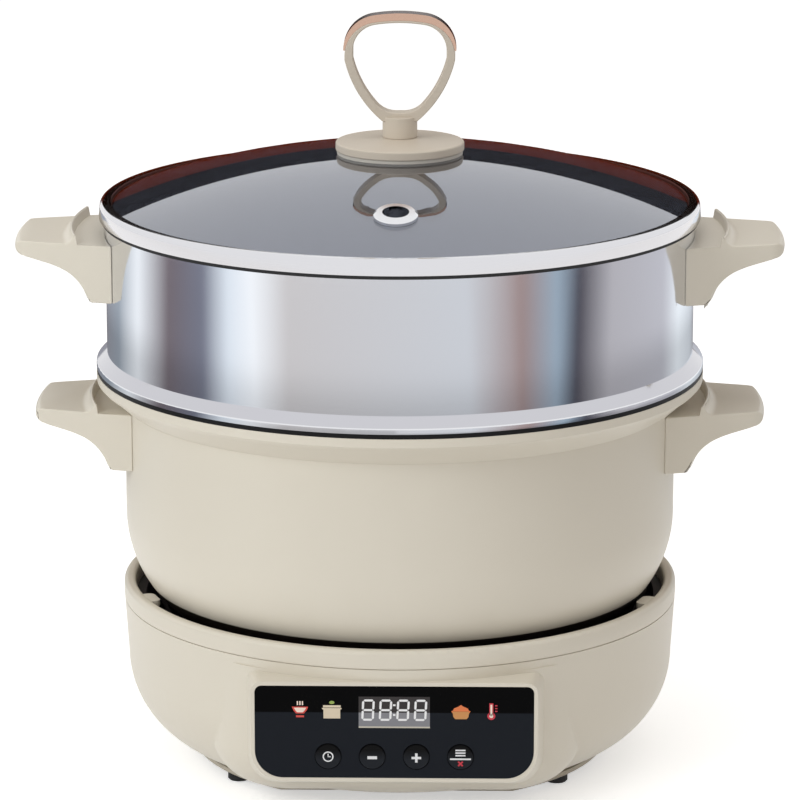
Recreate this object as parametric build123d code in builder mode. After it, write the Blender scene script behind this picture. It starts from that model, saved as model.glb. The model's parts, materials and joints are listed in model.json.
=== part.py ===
"""Electric stew pot: heating base, lift-off pot, steel steamer ring, steam plate and glass lid.

Millimetres, +Z up, front towards -Y, origin on the table under the middle of the base.
"""
import math
import os

from build123d import *

os.makedirs("parts", exist_ok=True)

# Heights of the stack, from the table up
foot_height = 4.2
cover_thickness = 2.8
housing_height = 75.5
ring_height = 8.9
pot_sink = 25.4
pot_height = 134.7
steamer_height = 75.5

# Main radii
steamer_radius = 146.0
lip_overhang = 5.3
pot_flare = 13.8
base_overhang = 1.7
ring_gap = 4.4
lid_overhang = 3.1

# Clearances
rest_gap = 0.3
fit_gap = 0.15
lift_gap = 1.0
press_gap = 0.3

# Walls and sheets
steel_sheet = 1.0
pot_wall = 3.0
shell_wall = 2.6
basin_sheet = 1.2
board_thickness = 1.6

# Levels worked out from the stack
cover_z = foot_height
housing_z = cover_z + cover_thickness
seam_z = housing_z + housing_height
rim_z = seam_z + ring_height
pot_z = rim_z - pot_sink
pot_top = pot_z + pot_height
steamer_z = pot_top + rest_gap
steamer_top = steamer_z + steamer_height
plate_top = pot_z - rest_gap

# Radii worked out from the steamer
lip_radius = steamer_radius + lip_overhang
pot_radius = lip_radius - pot_flare
base_radius = pot_radius + base_overhang
ring_bore = pot_radius - ring_gap
lid_radius = steamer_radius + lid_overhang

# Heating base housing
bowl_round = 46.0
wall_taper = 2.1
seam_step = 0.2
seam_groove = 0.5
groove_depth = 0.8
chin_set_in = 13.2
chin_narrow = 48.2
chin_corner = 41.0
chin_round = 25.0
chin_rise = 4.0
chin_depth = 66.0
chin_drop = 4.5
bowl_radius = base_radius - wall_taper
chin_front = base_radius - chin_set_in
chin_half = base_radius - chin_narrow
wall_lean = (wall_taper - seam_step) / (housing_height - bowl_round)

# Control pad on the front of the housing
pad_proud = 1.2
pad_margin = 1.8
pad_side_draft = 8.0
pad_low_draft = 20.0
pad_depth = 30.0
pad_front = base_radius + pad_proud
window_width = 133.5
window_height = 46.0
window_drop = 7.9
window_thickness = 2.5
window_top_round = 3.4
window_bottom_round = 13.5
window_ledge = 3.0
ledge_thickness = 2.0
window_top = seam_z - window_drop
window_bottom = window_top - window_height
window_middle = (window_top + window_bottom) / 2
window_back = pad_front - window_thickness
ledge_back = window_back - ledge_thickness

# Buttons, display and control board
button_radius = 6.2
button_pitch = 21.1
button_rise = 10.8
button_crown = 0.6
button_flange = 0.8
button_flange_step = 0.7
button_stem_radius = 2.5
button_travel = 0.5
post_length = 5.5
post_radius = 2.4
post_span = 132.0
post_rise = 23.0
control_board_width = 131.8
control_board_height = 34.0
switch_side = 6.0
switch_height = 2.2
display_width = 34.0
display_height = 15.6
display_drop = 5.2
button_z = window_bottom + button_rise
button_places = [(i - 1.5) * button_pitch for i in range(4)]
board_front = ledge_back - post_length
display_z = window_top - display_drop - display_height / 2

# Top ring and heat basin
ring_edge_round = 2.4
tongue_depth = 4.0
tongue_width = 2.0
tab_width = 14.0
tab_reach = 5.0
tab_height = 3.0
tab_root = 3.0
tab_round = 2.9
tab_drop = 0.8
tab_angle = 21.0
basin_flange = 4.5
basin_slope = 13.0
fin_count = 24
fin_thickness = 1.2
fin_reach = 2.4

# Heating plate, element, legs and sensor
plate_radius = 85.0
plate_thickness = 8.0
plate_bore = 13.0
plate_edge_round = 2.0
element_radius = 58.0
element_tube = 3.3
element_gap_angle = 50.0
terminal_radius = 2.0
terminal_length = 18.0
terminal_clear = 2.0
leg_height = 5.0
leg_radius = 5.0
leg_circle = 74.0
sensor_radius = 11.0
sensor_cap_height = 5.0
sensor_stem_radius = 4.0
sensor_travel = 1.5
sensor_chamfer = 0.8
spring_wire = 0.8
spring_turns = 3.5
spring_radius = 7.5
spring_seat = 0.05
cup_depth = 12.0
cup_bore = 12.0
cup_wall = 1.5
cup_flange = 6.0
cutout_radius = 8.0
cutout_height = 4.0
cutout_place = 36.0
cutout_tag = 5.0
tag_width = 2.0
tag_sheet = 0.8
plate_z = plate_top - plate_thickness
basin_top = plate_z - leg_height
basin_z = basin_top - basin_sheet
cup_z = basin_z - cup_depth

# Bottom cover, feet and screws
cover_radius = 105.0
cover_flat = 17.0
cover_chamfer = 1.0
foot_radius = 5.6
foot_taper = 0.8
foot_stem = 2.4
foot_set_in = 7.0
foot_angle = 36.3
screw_set_in = 11.0
cover_land = 19.0
boss_radius = 4.2
boss_height = 16.0
screw_radius = 1.6
screw_head = 3.2
screw_head_height = 2.0
slot_length = 26.0
slot_width = 3.0
slot_pitch = 9.0
slot_count = 7
slot_place = 52.0
screw_head_sheet = 1.6
foot_x = (cover_radius - foot_set_in) * math.cos(math.radians(foot_angle))
foot_y = (cover_radius - foot_set_in) * math.sin(math.radians(foot_angle))
screw_circle = cover_radius - screw_set_in
cover_bore = cover_radius - cover_land

# Power board and inlet
power_width = 96.0
power_depth = 66.0
power_y = 18.0
relay_length = 24.0
relay_width = 16.0
relay_height = 15.0
relay_x = -24.0
relay_y = 31.0
transformer_side = 18.0
transformer_height = 14.0
transformer_x = 19.0
transformer_y = 29.0
capacitor_radius = 5.0
capacitor_height = 12.0
capacitor_pitch = 48.0
capacitor_y = 1.5
standoff_height = 9.0
standoff_radius = 3.0
standoff_inset = 6.0
inlet_drop = 42.5
inlet_set_in = 1.2
inlet_width = 30.0
inlet_height = 20.0
inlet_flange = 3.0
inlet_flange_thickness = 1.8
inlet_depth = 20.0
inlet_wall = 2.5
socket_depth = 16.0
socket_chamfer = 3.0
pin_width = 4.0
pin_thickness = 2.0
pin_spacing = 7.0
pin_length = 13.0
pin_tail = 6.0
back_pad_margin = 6.0
back_pad_depth = 14.0
back_pad_corner = 4.0
inlet_z = seam_z - inlet_drop
inlet_face = base_radius - inlet_set_in
power_z = housing_z + standoff_height

# Pot
pot_corner = 60.0
rim_width = 3.4
rim_band = 6.2
black_band = 2.0
black_step = 0.3
flare_height = 11.5
bead_height = 0.6
bead_width = 1.8

# Handles, the same moulding on pot and steamer
handle_reach = 44.5
handle_root = 12.0
handle_root_width = 86.0
handle_tip_width = 54.0
handle_tip = 7.4
handle_post = 10.0
handle_drop = 28.8
handle_corner = 11.0
handle_post_round = 2.2
under_place = 9.0
under_drop = 7.6
crest_place = 15.8
crest_height = 4.7
crest_width = 1.4
crest_slope = 5.0
pot_handle_drop = 18.6
steamer_handle_drop = 9.5
bracket_width = 34.0
bracket_height = 18.0
bracket_shift = 6.0
bracket_sheet = 1.5
tongue_length = 24.0
tongue_sheet = 3.0
tongue_span = 18.0
tongue_depth_in_handle = 6.0
handle_screw_place = 6.0
handle_screw_head_height = 8.0
pot_handle_top = pot_top - pot_handle_drop
steamer_handle_top = steamer_top - steamer_handle_drop

# Steamer
lip_height = 2.5
lip_round = 1.0
flange_height = 5.1
skirt_depth = 2.6
ledge_width = 12.0
plate_sheet = 1.0
steam_hole = 4.0
steam_margin = 24.0
steam_rings = 4
steam_ring_holes = 6

# Lid
dome_rise = 26.4
glass_thickness = 3.3
rim_overlap = 0.5
rim_skirt = 6.0
rim_lip = 4.5
rim_round = 2.4
glass_play = 0.5
glass_radius = lid_radius - steel_sheet - glass_play
web_z = steamer_top + rest_gap
glass_z = web_z + steel_sheet
glass_edge = glass_z + glass_thickness
dome_top = glass_edge + dome_rise
dome_radius = (glass_radius**2 + dome_rise**2) / (2 * dome_rise)

# Knob and steam vent
knob_radius = 31.8
knob_edge = 4.6
knob_crown = 2.0
knob_round = 1.0
gasket_radius = 29.0
gasket_lift = 0.3
neck_radius = 8.6
neck_height = 8.4
loop_half = 27.2
loop_height = 53.1
loop_side = 18.0
loop_depth = 9.5
loop_strip = 4.2
loop_top_sag = 4.6
loop_corner = 17.0
loop_side_bulge = 2.6
loop_seat_round = 12.0
trim_wall = 0.6
trim_rise = 3.0
trim_reach = 17.9
trim_inset = 0.2
knob_screw_radius = 2.5
knob_screw_head = 6.0
knob_screw_head_height = 3.5
knob_screw_depth = 5.0
knob_screw_chamfer = 1.2
washer_radius = 10.0
washer_thickness = 1.2
vent_set_in = 44.6
vent_bore = 6.4
vent_tube = 8.4
vent_flange = 10.6
vent_collar = 2.8
vent_chamfer = 1.4
vent_lip = 1.2
vent_place = glass_radius - vent_set_in
disc_z = dome_top + gasket_lift
neck_z = disc_z + knob_edge + knob_crown
loop_z = neck_z + neck_height
loop_top = loop_z + loop_height
shoulder_z = loop_top - loop_top_sag - loop_side
trim_z = loop_top - trim_reach


def dome_height(radius):
    """Height of the glass's outer face at a radius."""
    return dome_top - dome_radius + math.sqrt(dome_radius**2 - radius**2)


def bowl_of(inset):
    """Bowl of the housing with a rounded chin at the front, both drawn inside by the inset."""
    low = housing_z + chin_rise + inset
    with BuildPart() as bowl:
        with BuildSketch(Plane.XY.offset(low)) as plan:
            with Locations((0, inset - chin_front)):
                Rectangle(2 * (chin_half - inset), chin_depth, align=(Align.CENTER, Align.MIN))
            fillet(plan.vertices().group_by(Axis.Y)[0], chin_corner - inset)
        extrude(amount=seam_z - chin_drop - low)
        front_edges = bowl.faces().sort_by(Axis.Z)[0].edges().sort_by(Axis.Y)[:-1]
        fillet(front_edges, chin_round - inset)
        with BuildSketch(Plane.XZ):
            with BuildLine():
                wall = Line(
                    (base_radius - seam_step - inset, seam_z),
                    (bowl_radius - inset, housing_z + bowl_round),
                )
                corner = JernArc(wall @ 1, (0, -1), bowl_round - inset, -90)
                bottom = Line(corner @ 1, (0, (corner @ 1).Y))
                middle = Line(bottom @ 1, (0, seam_z))
                Line(middle @ 1, wall @ 0)
            make_face()
        revolve(axis=Axis.Z)
    return bowl.part


def window_face(grow, front):
    """Outline of the control window at a distance in front of the axis, grown all round."""
    with BuildSketch(Plane.XZ.offset(front)) as face:
        with Locations((0, window_middle)):
            Rectangle(window_width + 2 * grow, window_height + 2 * grow)
        fillet(face.vertices().group_by(Axis.Y)[-1], window_top_round + grow)
        fillet(face.vertices().group_by(Axis.Y)[0], window_bottom_round + grow)
    return face.sketch


def pad_of(inset, front, back):
    """Drafted control pad that widens and drops backwards until it sinks into the chin."""
    side_slope = math.tan(math.radians(pad_side_draft))
    low_slope = math.tan(math.radians(pad_low_draft))
    margin = pad_margin - inset
    with BuildPart() as pad:
        for place in (front, back):
            half = window_width / 2 + margin + (pad_front - place) * side_slope
            top = window_top + margin
            low = window_bottom - margin - (pad_front - place) * low_slope
            with BuildSketch(Plane.XZ.offset(place)) as outline:
                with Locations((0, (top + low) / 2)):
                    Rectangle(2 * half, top - low)
                fillet(outline.vertices().group_by(Axis.Y)[-1], window_top_round + margin)
                fillet(outline.vertices().group_by(Axis.Y)[0], window_bottom_round + margin)
        loft(ruled=True)
    return pad.part


# Housing of the heating base: a bowl with a chin, a control pad and a groove under the seam
with BuildPart() as base_housing:
    add(bowl_of(0))
    add(pad_of(0, pad_front, pad_front - pad_depth))
    with BuildSketch(Plane.XZ.offset(-inlet_face)):
        with Locations((0, inlet_z)):
            RectangleRounded(
                inlet_width + 2 * back_pad_margin,
                inlet_height + 2 * back_pad_margin,
                back_pad_corner,
            )
    extrude(amount=back_pad_depth)
    add(bowl_of(shell_wall), mode=Mode.SUBTRACT)
    add(pad_of(shell_wall, ledge_back, pad_front - pad_depth + shell_wall), mode=Mode.SUBTRACT)
    extrude(window_face(0, pad_front), amount=-window_thickness, mode=Mode.SUBTRACT)
    extrude(window_face(-window_ledge, window_back), amount=-ledge_thickness, mode=Mode.SUBTRACT)
    with BuildSketch(Plane.XZ.offset(-inlet_face)):
        with Locations((0, inlet_z)):
            Rectangle(inlet_width + 2 * fit_gap, inlet_height + 2 * fit_gap)
    extrude(amount=2 * back_pad_depth, mode=Mode.SUBTRACT)
    with BuildSketch(Plane.XY.offset(housing_z)):
        Circle(cover_bore)
    extrude(amount=2 * shell_wall, mode=Mode.SUBTRACT)
    with BuildSketch(Plane.XZ.offset(ledge_back)):
        with Locations((0, window_middle)):
            with GridLocations(post_span, post_rise, 2, 2):
                Circle(post_radius)
    extrude(amount=-post_length)
    with BuildSketch(Plane.XY.offset(housing_z + shell_wall / 2)):
        with PolarLocations(screw_circle, 4, start_angle=45):
            Circle(boss_radius)
    extrude(amount=boss_height)
    with BuildSketch(Plane.XY.offset(housing_z)):
        with PolarLocations(screw_circle, 4, start_angle=45):
            Circle(screw_radius)
    extrude(amount=boss_height, mode=Mode.SUBTRACT)
    with BuildSketch(Plane.XZ):
        with Locations((base_radius - seam_step - groove_depth, seam_z)):
            Rectangle(2 * groove_depth, seam_groove, align=(Align.MIN, Align.MAX))
    revolve(axis=Axis.Z, mode=Mode.SUBTRACT)
base_housing.part.label = "base_housing"
export_step(base_housing.part, "parts/base_housing.step")

# Ring that closes the housing at the top, with a tongue inside the seam and two pot guides
ring_tongue = base_radius - seam_step - shell_wall - fit_gap - wall_lean * tongue_depth
with BuildPart() as base_top_ring:
    with BuildSketch(Plane.XZ) as ring_section:
        with BuildLine():
            Polyline(
                (base_radius - seam_step, seam_z),
                (base_radius, seam_z + ring_edge_round),
                (base_radius - seam_step, rim_z),
                (ring_bore, rim_z),
                (ring_bore, seam_z),
                (ring_tongue - tongue_width, seam_z),
                (ring_tongue - tongue_width, seam_z - tongue_depth),
                (ring_tongue, seam_z - tongue_depth),
                (ring_tongue, seam_z),
                close=True,
            )
        make_face()
        fillet(ring_section.vertices().group_by(Axis.Y)[-1], ring_edge_round)
    revolve(axis=Axis.Z)
    with BuildSketch(Plane.XY.offset(rim_z - tab_drop)):
        for angle in (180 + tab_angle, -tab_angle):
            with PolarLocations(ring_bore + (tab_root - tab_reach) / 2, 1, start_angle=angle):
                RectangleRounded(tab_reach + tab_root, tab_width, tab_round)
    extrude(amount=-tab_height)
base_top_ring.part.label = "base_top_ring"
export_step(base_top_ring.part, "parts/base_top_ring.step")

# Dark basin under the pot, hung from the ring, with upright fins and holes for element and sensor
basin_edge = ring_tongue - tongue_width - fit_gap
basin_wall = basin_edge - basin_flange
basin_low = basin_wall - basin_slope
basin_inner = basin_wall - basin_sheet
terminal_angles = [90 - element_gap_angle / 2, 90 + element_gap_angle / 2]
with BuildPart() as heat_basin:
    with BuildSketch(Plane.XZ):
        with BuildLine():
            Polyline(
                (basin_low - basin_sheet, basin_top),
                (basin_inner, seam_z - basin_sheet),
                (basin_inner - fin_reach, seam_z - basin_sheet),
                (basin_low - basin_sheet - fin_reach, basin_top),
                close=True,
            )
        make_face()
    revolve(axis=Axis.Z)
    with BuildSketch(Plane.XY.offset(basin_z)):
        with PolarLocations(basin_wall / 2, fin_count, start_angle=180 / fin_count):
            Rectangle(basin_wall, fin_thickness)
    extrude(amount=seam_z - basin_z, mode=Mode.INTERSECT)
    with BuildSketch(Plane.XZ):
        with BuildLine():
            Polyline(
                (0, basin_z),
                (basin_low, basin_z),
                (basin_wall, seam_z - basin_sheet),
                (basin_edge, seam_z - basin_sheet),
                (basin_edge, seam_z),
                (basin_inner, seam_z),
                (basin_inner, seam_z - basin_sheet),
                (basin_low - basin_sheet, basin_top),
                (0, basin_top),
                close=True,
            )
        make_face()
    revolve(axis=Axis.Z)
    with BuildSketch(Plane.XY.offset(basin_z)):
        Circle(cup_bore)
        for angle in terminal_angles:
            with PolarLocations(element_radius, 1, start_angle=angle):
                Circle(terminal_radius + terminal_clear)
        with Locations((0, -cutout_place)):
            Circle(cutout_radius + lift_gap)
    extrude(amount=basin_sheet, mode=Mode.SUBTRACT)
heat_basin.part.label = "heat_basin"
export_step(heat_basin.part, "parts/heat_basin.step")

# Cast heating plate with a groove for the element and a bore for the sensor
with BuildPart() as heating_plate:
    with BuildSketch(Plane.XY.offset(plate_z)):
        Circle(plate_radius)
        Circle(plate_bore, mode=Mode.SUBTRACT)
    extrude(amount=plate_thickness)
    fillet(heating_plate.edges().filter_by(GeomType.CIRCLE).sort_by(SortBy.RADIUS)[-2:], plate_edge_round)
    with BuildSketch(Plane.XZ):
        with Locations((element_radius, plate_z)):
            Circle(element_tube)
    revolve(axis=Axis.Z, mode=Mode.SUBTRACT)
heating_plate.part.label = "heating_plate"
export_step(heating_plate.part, "parts/heating_plate.step")

# Tubular element half sunk in the plate, with two terminals turned down through the basin
with BuildPart() as heating_element:
    with BuildLine():
        CenterArc((0, 0, plate_z), element_radius, terminal_angles[1], 360 - element_gap_angle)
    with BuildSketch(Plane(
        origin=(
            element_radius * math.cos(math.radians(terminal_angles[1])),
            element_radius * math.sin(math.radians(terminal_angles[1])),
            plate_z,
        ),
        z_dir=(-math.sin(math.radians(terminal_angles[1])), math.cos(math.radians(terminal_angles[1])), 0),
    )):
        Circle(element_tube)
    sweep()
    with BuildSketch(Plane.XY.offset(plate_z)):
        for angle in terminal_angles:
            with PolarLocations(element_radius, 1, start_angle=angle):
                Circle(terminal_radius)
    extrude(amount=-terminal_length)
heating_element.part.label = "heating_element"
export_step(heating_element.part, "parts/heating_element.step")

# Three legs that carry the heating plate on the basin's floor
with BuildPart() as plate_legs:
    with BuildSketch(Plane.XY.offset(basin_top)):
        with PolarLocations(leg_circle, 3, start_angle=30):
            Circle(leg_radius)
    extrude(amount=leg_height)
plate_legs.part.label = "plate_legs"
export_step(plate_legs.part, "parts/plate_legs.step")

# Spring cup under the basin, which guides the sensor's stem
with BuildPart() as sensor_cup:
    with BuildSketch(Plane.XZ):
        with BuildLine():
            Polyline(
                (sensor_stem_radius + rest_gap, cup_z),
                (cup_bore, cup_z),
                (cup_bore, basin_z - cup_wall),
                (cup_bore + cup_flange, basin_z - cup_wall),
                (cup_bore + cup_flange, basin_z),
                (cup_bore - cup_wall, basin_z),
                (cup_bore - cup_wall, cup_z + cup_wall),
                (sensor_stem_radius + rest_gap, cup_z + cup_wall),
                close=True,
            )
        make_face()
    revolve(axis=Axis.Z)
sensor_cup.part.label = "sensor_cup"
export_step(sensor_cup.part, "parts/sensor_cup.step")

# Sprung temperature sensor that touches the pot's bottom
sensor_foot = cup_z - sensor_travel
with BuildPart() as temperature_sensor:
    with BuildSketch(Plane.XY.offset(plate_top - sensor_cap_height)):
        Circle(sensor_radius)
    extrude(amount=sensor_cap_height)
    chamfer(temperature_sensor.edges().group_by(Axis.Z)[-1], sensor_chamfer)
    with BuildSketch(Plane.XY.offset(sensor_foot)):
        Circle(sensor_stem_radius)
    extrude(amount=plate_top - sensor_cap_height - sensor_foot)
temperature_sensor.part.label = "temperature_sensor"
export_step(temperature_sensor.part, "parts/temperature_sensor.step")

# Coil spring between the cup's floor and the sensor's cap, at its length with the pot in place
spring_low = cup_z + cup_wall + spring_wire + spring_seat
spring_high = plate_top - sensor_cap_height - spring_wire - spring_seat
with BuildPart() as sensor_spring:
    with BuildLine():
        coil = Helix((spring_high - spring_low) / spring_turns, spring_high - spring_low, spring_radius,
                     center=(0, 0, spring_low))
    with BuildSketch(Plane(origin=coil @ 0, z_dir=coil % 0)):
        Circle(spring_wire)
    sweep(is_frenet=True)
sensor_spring.part.label = "sensor_spring"
export_step(sensor_spring.part, "parts/sensor_spring.step")

# Thermal cut-out clipped under the heating plate
with BuildPart() as thermal_cutout:
    with BuildSketch(Plane.XY.offset(plate_z - cutout_height)):
        with Locations((0, -cutout_place)):
            Circle(cutout_radius)
    extrude(amount=cutout_height)
    with BuildSketch(Plane.XY.offset(plate_z - cutout_height)):
        with Locations((0, -cutout_place)):
            with GridLocations(cutout_radius, 0, 2, 1):
                Rectangle(tag_width, tag_sheet)
    extrude(amount=-cutout_tag)
thermal_cutout.part.label = "thermal_cutout"
export_step(thermal_cutout.part, "parts/thermal_cutout.step")

# Bottom cover with air slots, posts for the power board and holes for screws and feet
with BuildPart() as base_bottom_cover:
    with BuildSketch(Plane.XY.offset(cover_z)):
        Circle(cover_radius)
        with Locations((0, cover_flat - cover_radius)):
            Rectangle(2 * cover_radius, cover_radius, align=(Align.CENTER, Align.MAX), mode=Mode.SUBTRACT)
    extrude(amount=cover_thickness)
    chamfer(base_bottom_cover.edges().group_by(Axis.Z)[0], cover_chamfer)
    with BuildSketch(Plane.XY.offset(housing_z)):
        with Locations((0, power_y)):
            with GridLocations(power_width - 2 * standoff_inset, power_depth - 2 * standoff_inset, 2, 2):
                Circle(standoff_radius)
    extrude(amount=standoff_height)
    with BuildSketch(Plane.XY.offset(cover_z)):
        with Locations((0, -slot_place)):
            with GridLocations(slot_pitch, 0, slot_count, 1):
                SlotOverall(slot_length, slot_width, rotation=90)
        with GridLocations(2 * foot_x, 2 * foot_y, 2, 2):
            Circle(foot_stem)
        with PolarLocations(screw_circle, 4, start_angle=45):
            Circle(screw_radius)
    extrude(amount=cover_thickness, mode=Mode.SUBTRACT)
    with BuildSketch(Plane.XY.offset(cover_z)):
        with PolarLocations(screw_circle, 4, start_angle=45):
            Circle(screw_head + fit_gap)
    extrude(amount=screw_head_height, mode=Mode.SUBTRACT)
base_bottom_cover.part.label = "base_bottom_cover"
export_step(base_bottom_cover.part, "parts/base_bottom_cover.step")

# Rubber feet, each with a stem pushed into the cover
for side, x in (("left", -foot_x), ("right", foot_x)):
    for end, y in (("front", -foot_y), ("back", foot_y)):
        with BuildPart() as foot:
            with BuildSketch(Plane.XY.offset(0)):
                with Locations((x, y)):
                    Circle(foot_radius)
            extrude(amount=foot_height)
            chamfer(foot.edges().group_by(Axis.Z)[0], foot_taper)
            with BuildSketch(Plane.XY.offset(foot_height)):
                with Locations((x, y)):
                    Circle(foot_stem)
            extrude(amount=cover_thickness)
        foot.part.label = f"foot_{end}_{side}"
        export_step(foot.part, f"parts/foot_{end}_{side}.step")

# Four screws that hold the cover to the housing's bosses
with BuildPart() as cover_screws:
    with BuildSketch(Plane.XY.offset(cover_z + screw_head_height - screw_head_sheet)):
        with PolarLocations(screw_circle, 4, start_angle=45):
            Circle(screw_head)
    extrude(amount=screw_head_sheet)
    with BuildSketch(Plane.XY.offset(cover_z + screw_head_height)):
        with PolarLocations(screw_circle, 4, start_angle=45):
            Circle(screw_radius)
    extrude(amount=boss_height)
cover_screws.part.label = "cover_screws"
export_step(cover_screws.part, "parts/cover_screws.step")

# Gloss control window with four button holes
with BuildPart() as control_window:
    extrude(window_face(-fit_gap, pad_front), amount=-window_thickness)
    with BuildSketch(Plane.XZ.offset(pad_front)):
        for x in button_places:
            with Locations((x, button_z)):
                Circle(button_radius + press_gap)
    extrude(amount=-window_thickness, mode=Mode.SUBTRACT)
control_window.part.label = "control_window"
export_step(control_window.part, "parts/control_window.step")

# Control board on the housing's posts
with BuildPart() as control_board:
    with BuildSketch(Plane.XZ.offset(board_front)):
        with Locations((0, window_middle)):
            Rectangle(control_board_width, control_board_height)
    extrude(amount=-board_thickness)
control_board.part.label = "control_board"
export_step(control_board.part, "parts/control_board.step")

# Four-digit display between the board and the window
with BuildPart() as display_module:
    with BuildSketch(Plane.XZ.offset(window_back)):
        with Locations((0, display_z)):
            Rectangle(display_width, display_height)
    extrude(amount=-(window_back - board_front))
display_module.part.label = "display_module"
export_step(display_module.part, "parts/display_module.step")

# Four push switches on the board, one behind each button
switch_front = board_front + switch_height
with BuildPart() as push_switches:
    with BuildSketch(Plane.XZ.offset(board_front)):
        for x in button_places:
            with Locations((x, button_z)):
                Rectangle(switch_side, switch_side)
    extrude(amount=switch_height)
push_switches.part.label = "push_switches"
export_step(push_switches.part, "parts/push_switches.step")

# Button caps: a low crown, a flange behind the window and a stem towards the switch
flange_front = window_back - press_gap
stem_end = switch_front + button_travel + press_gap
for name, x in zip(("timer", "minus", "plus", "power"), button_places):
    with BuildPart() as button:
        with BuildSketch(Plane.XZ.offset(pad_front + button_crown)):
            with Locations((x, button_z)):
                Circle(button_radius)
        extrude(amount=-(pad_front + button_crown - flange_front))
        fillet(button.edges().group_by(Axis.Y)[0], button_crown)
        with BuildSketch(Plane.XZ.offset(flange_front)):
            with Locations((x, button_z)):
                Circle(button_radius + button_flange_step)
        extrude(amount=-button_flange)
        with BuildSketch(Plane.XZ.offset(flange_front - button_flange)):
            with Locations((x, button_z)):
                Circle(button_stem_radius)
        extrude(amount=-(flange_front - button_flange - stem_end))
    button.part.label = f"button_{name}"
    export_step(button.part, f"parts/button_{name}.step")

# Power board on the cover's posts
with BuildPart() as power_board:
    with BuildSketch(Plane.XY.offset(power_z)):
        with Locations((0, power_y)):
            Rectangle(power_width, power_depth)
    extrude(amount=board_thickness)
power_board.part.label = "power_board"
export_step(power_board.part, "parts/power_board.step")

# Relay, transformer and two capacitors on the power board
parts_z = power_z + board_thickness
with BuildPart() as board_parts:
    with BuildSketch(Plane.XY.offset(parts_z)):
        with Locations((relay_x, relay_y)):
            Rectangle(relay_length, relay_width)
    extrude(amount=relay_height)
    with BuildSketch(Plane.XY.offset(parts_z)):
        with Locations((transformer_x, transformer_y)):
            Rectangle(transformer_side, transformer_side)
    extrude(amount=transformer_height)
    with BuildSketch(Plane.XY.offset(parts_z)):
        with Locations((0, capacitor_y)):
            with GridLocations(capacitor_pitch, 0, 2, 1):
                Circle(capacitor_radius)
    extrude(amount=capacitor_height)
board_parts.part.label = "board_parts"
export_step(board_parts.part, "parts/board_parts.step")

# Appliance inlet through the back of the housing
socket_width = inlet_width - 2 * inlet_wall
socket_height = inlet_height - 2 * inlet_wall
inlet_front = inlet_face + inlet_flange_thickness
socket_end = inlet_front - socket_depth
with BuildPart() as power_inlet:
    with BuildSketch(Plane.XZ.offset(-inlet_face)):
        with Locations((0, inlet_z)):
            RectangleRounded(inlet_width + 2 * inlet_flange, inlet_height + 2 * inlet_flange, inlet_flange)
    extrude(amount=-inlet_flange_thickness)
    with BuildSketch(Plane.XZ.offset(-inlet_face)):
        with Locations((0, inlet_z)):
            Rectangle(inlet_width, inlet_height)
    extrude(amount=inlet_depth)
    with BuildSketch(Plane.XZ.offset(-inlet_front)) as socket:
        with Locations((0, inlet_z)):
            Rectangle(socket_width, socket_height)
        chamfer(socket.vertices().group_by(Axis.Y)[-1], socket_chamfer)
    extrude(amount=socket_depth, mode=Mode.SUBTRACT)
    with BuildSketch(Plane.XZ.offset(-socket_end)):
        with Locations((0, inlet_z)):
            with GridLocations(pin_spacing, 0, 3, 1):
                Rectangle(pin_thickness, pin_width)
    extrude(amount=inlet_depth, mode=Mode.SUBTRACT)
power_inlet.part.label = "power_inlet"
export_step(power_inlet.part, "parts/power_inlet.step")

# Three contact pins in the inlet
with BuildPart() as inlet_pins:
    with BuildSketch(Plane.XZ.offset(-(socket_end + pin_length))):
        with Locations((0, inlet_z)):
            with GridLocations(pin_spacing, 0, 3, 1):
                Rectangle(pin_thickness, pin_width)
    extrude(amount=pin_length + socket_end - (inlet_face - inlet_depth) + pin_tail)
inlet_pins.part.label = "inlet_pins"
export_step(inlet_pins.part, "parts/inlet_pins.step")

# Cast pot: rounded bottom, upright wall, flared rim with two fine beads and a dark top edge
flare_top = pot_top - rim_band
flare_low = flare_top - flare_height
rim_inner = lip_radius - rim_width
inner_top = pot_top - rim_band + pot_wall
slope = (lip_radius - pot_radius) / flare_height
with BuildPart() as pot_body:
    with BuildSketch(Plane.XZ):
        with BuildLine():
            floor_line = Line((0, pot_z), (pot_radius - pot_corner, pot_z))
            corner = JernArc(floor_line @ 1, (1, 0), pot_corner, 90)
            wall = Line(corner @ 1, (pot_radius, flare_low))
            outside = Polyline(
                wall @ 1,
                (pot_radius + slope * bead_width, flare_low + bead_width),
                (pot_radius + slope * bead_width + bead_height, flare_low + bead_width),
                (lip_radius - slope * bead_width, flare_top - bead_width),
                (lip_radius - slope * bead_width + bead_height, flare_top - bead_width),
                (lip_radius, flare_top),
                (lip_radius, pot_top - black_band),
                (lip_radius - black_step, pot_top - black_band),
                (lip_radius - black_step, pot_top),
                (rim_inner, pot_top),
                (rim_inner, inner_top),
                (pot_radius - pot_wall, inner_top - (rim_inner - pot_radius + pot_wall) / slope),
                (pot_radius - pot_wall, pot_z + pot_corner),
            )
            inner_corner = JernArc(outside @ 1, (0, -1), pot_corner - pot_wall, -90)
            inner_floor = Line(inner_corner @ 1, (0, (inner_corner @ 1).Y))
            Line(inner_floor @ 1, floor_line @ 0)
        make_face()
    revolve(axis=Axis.Z)
pot_body.part.label = "pot_body"
export_step(pot_body.part, "parts/pot_body.step")


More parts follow.
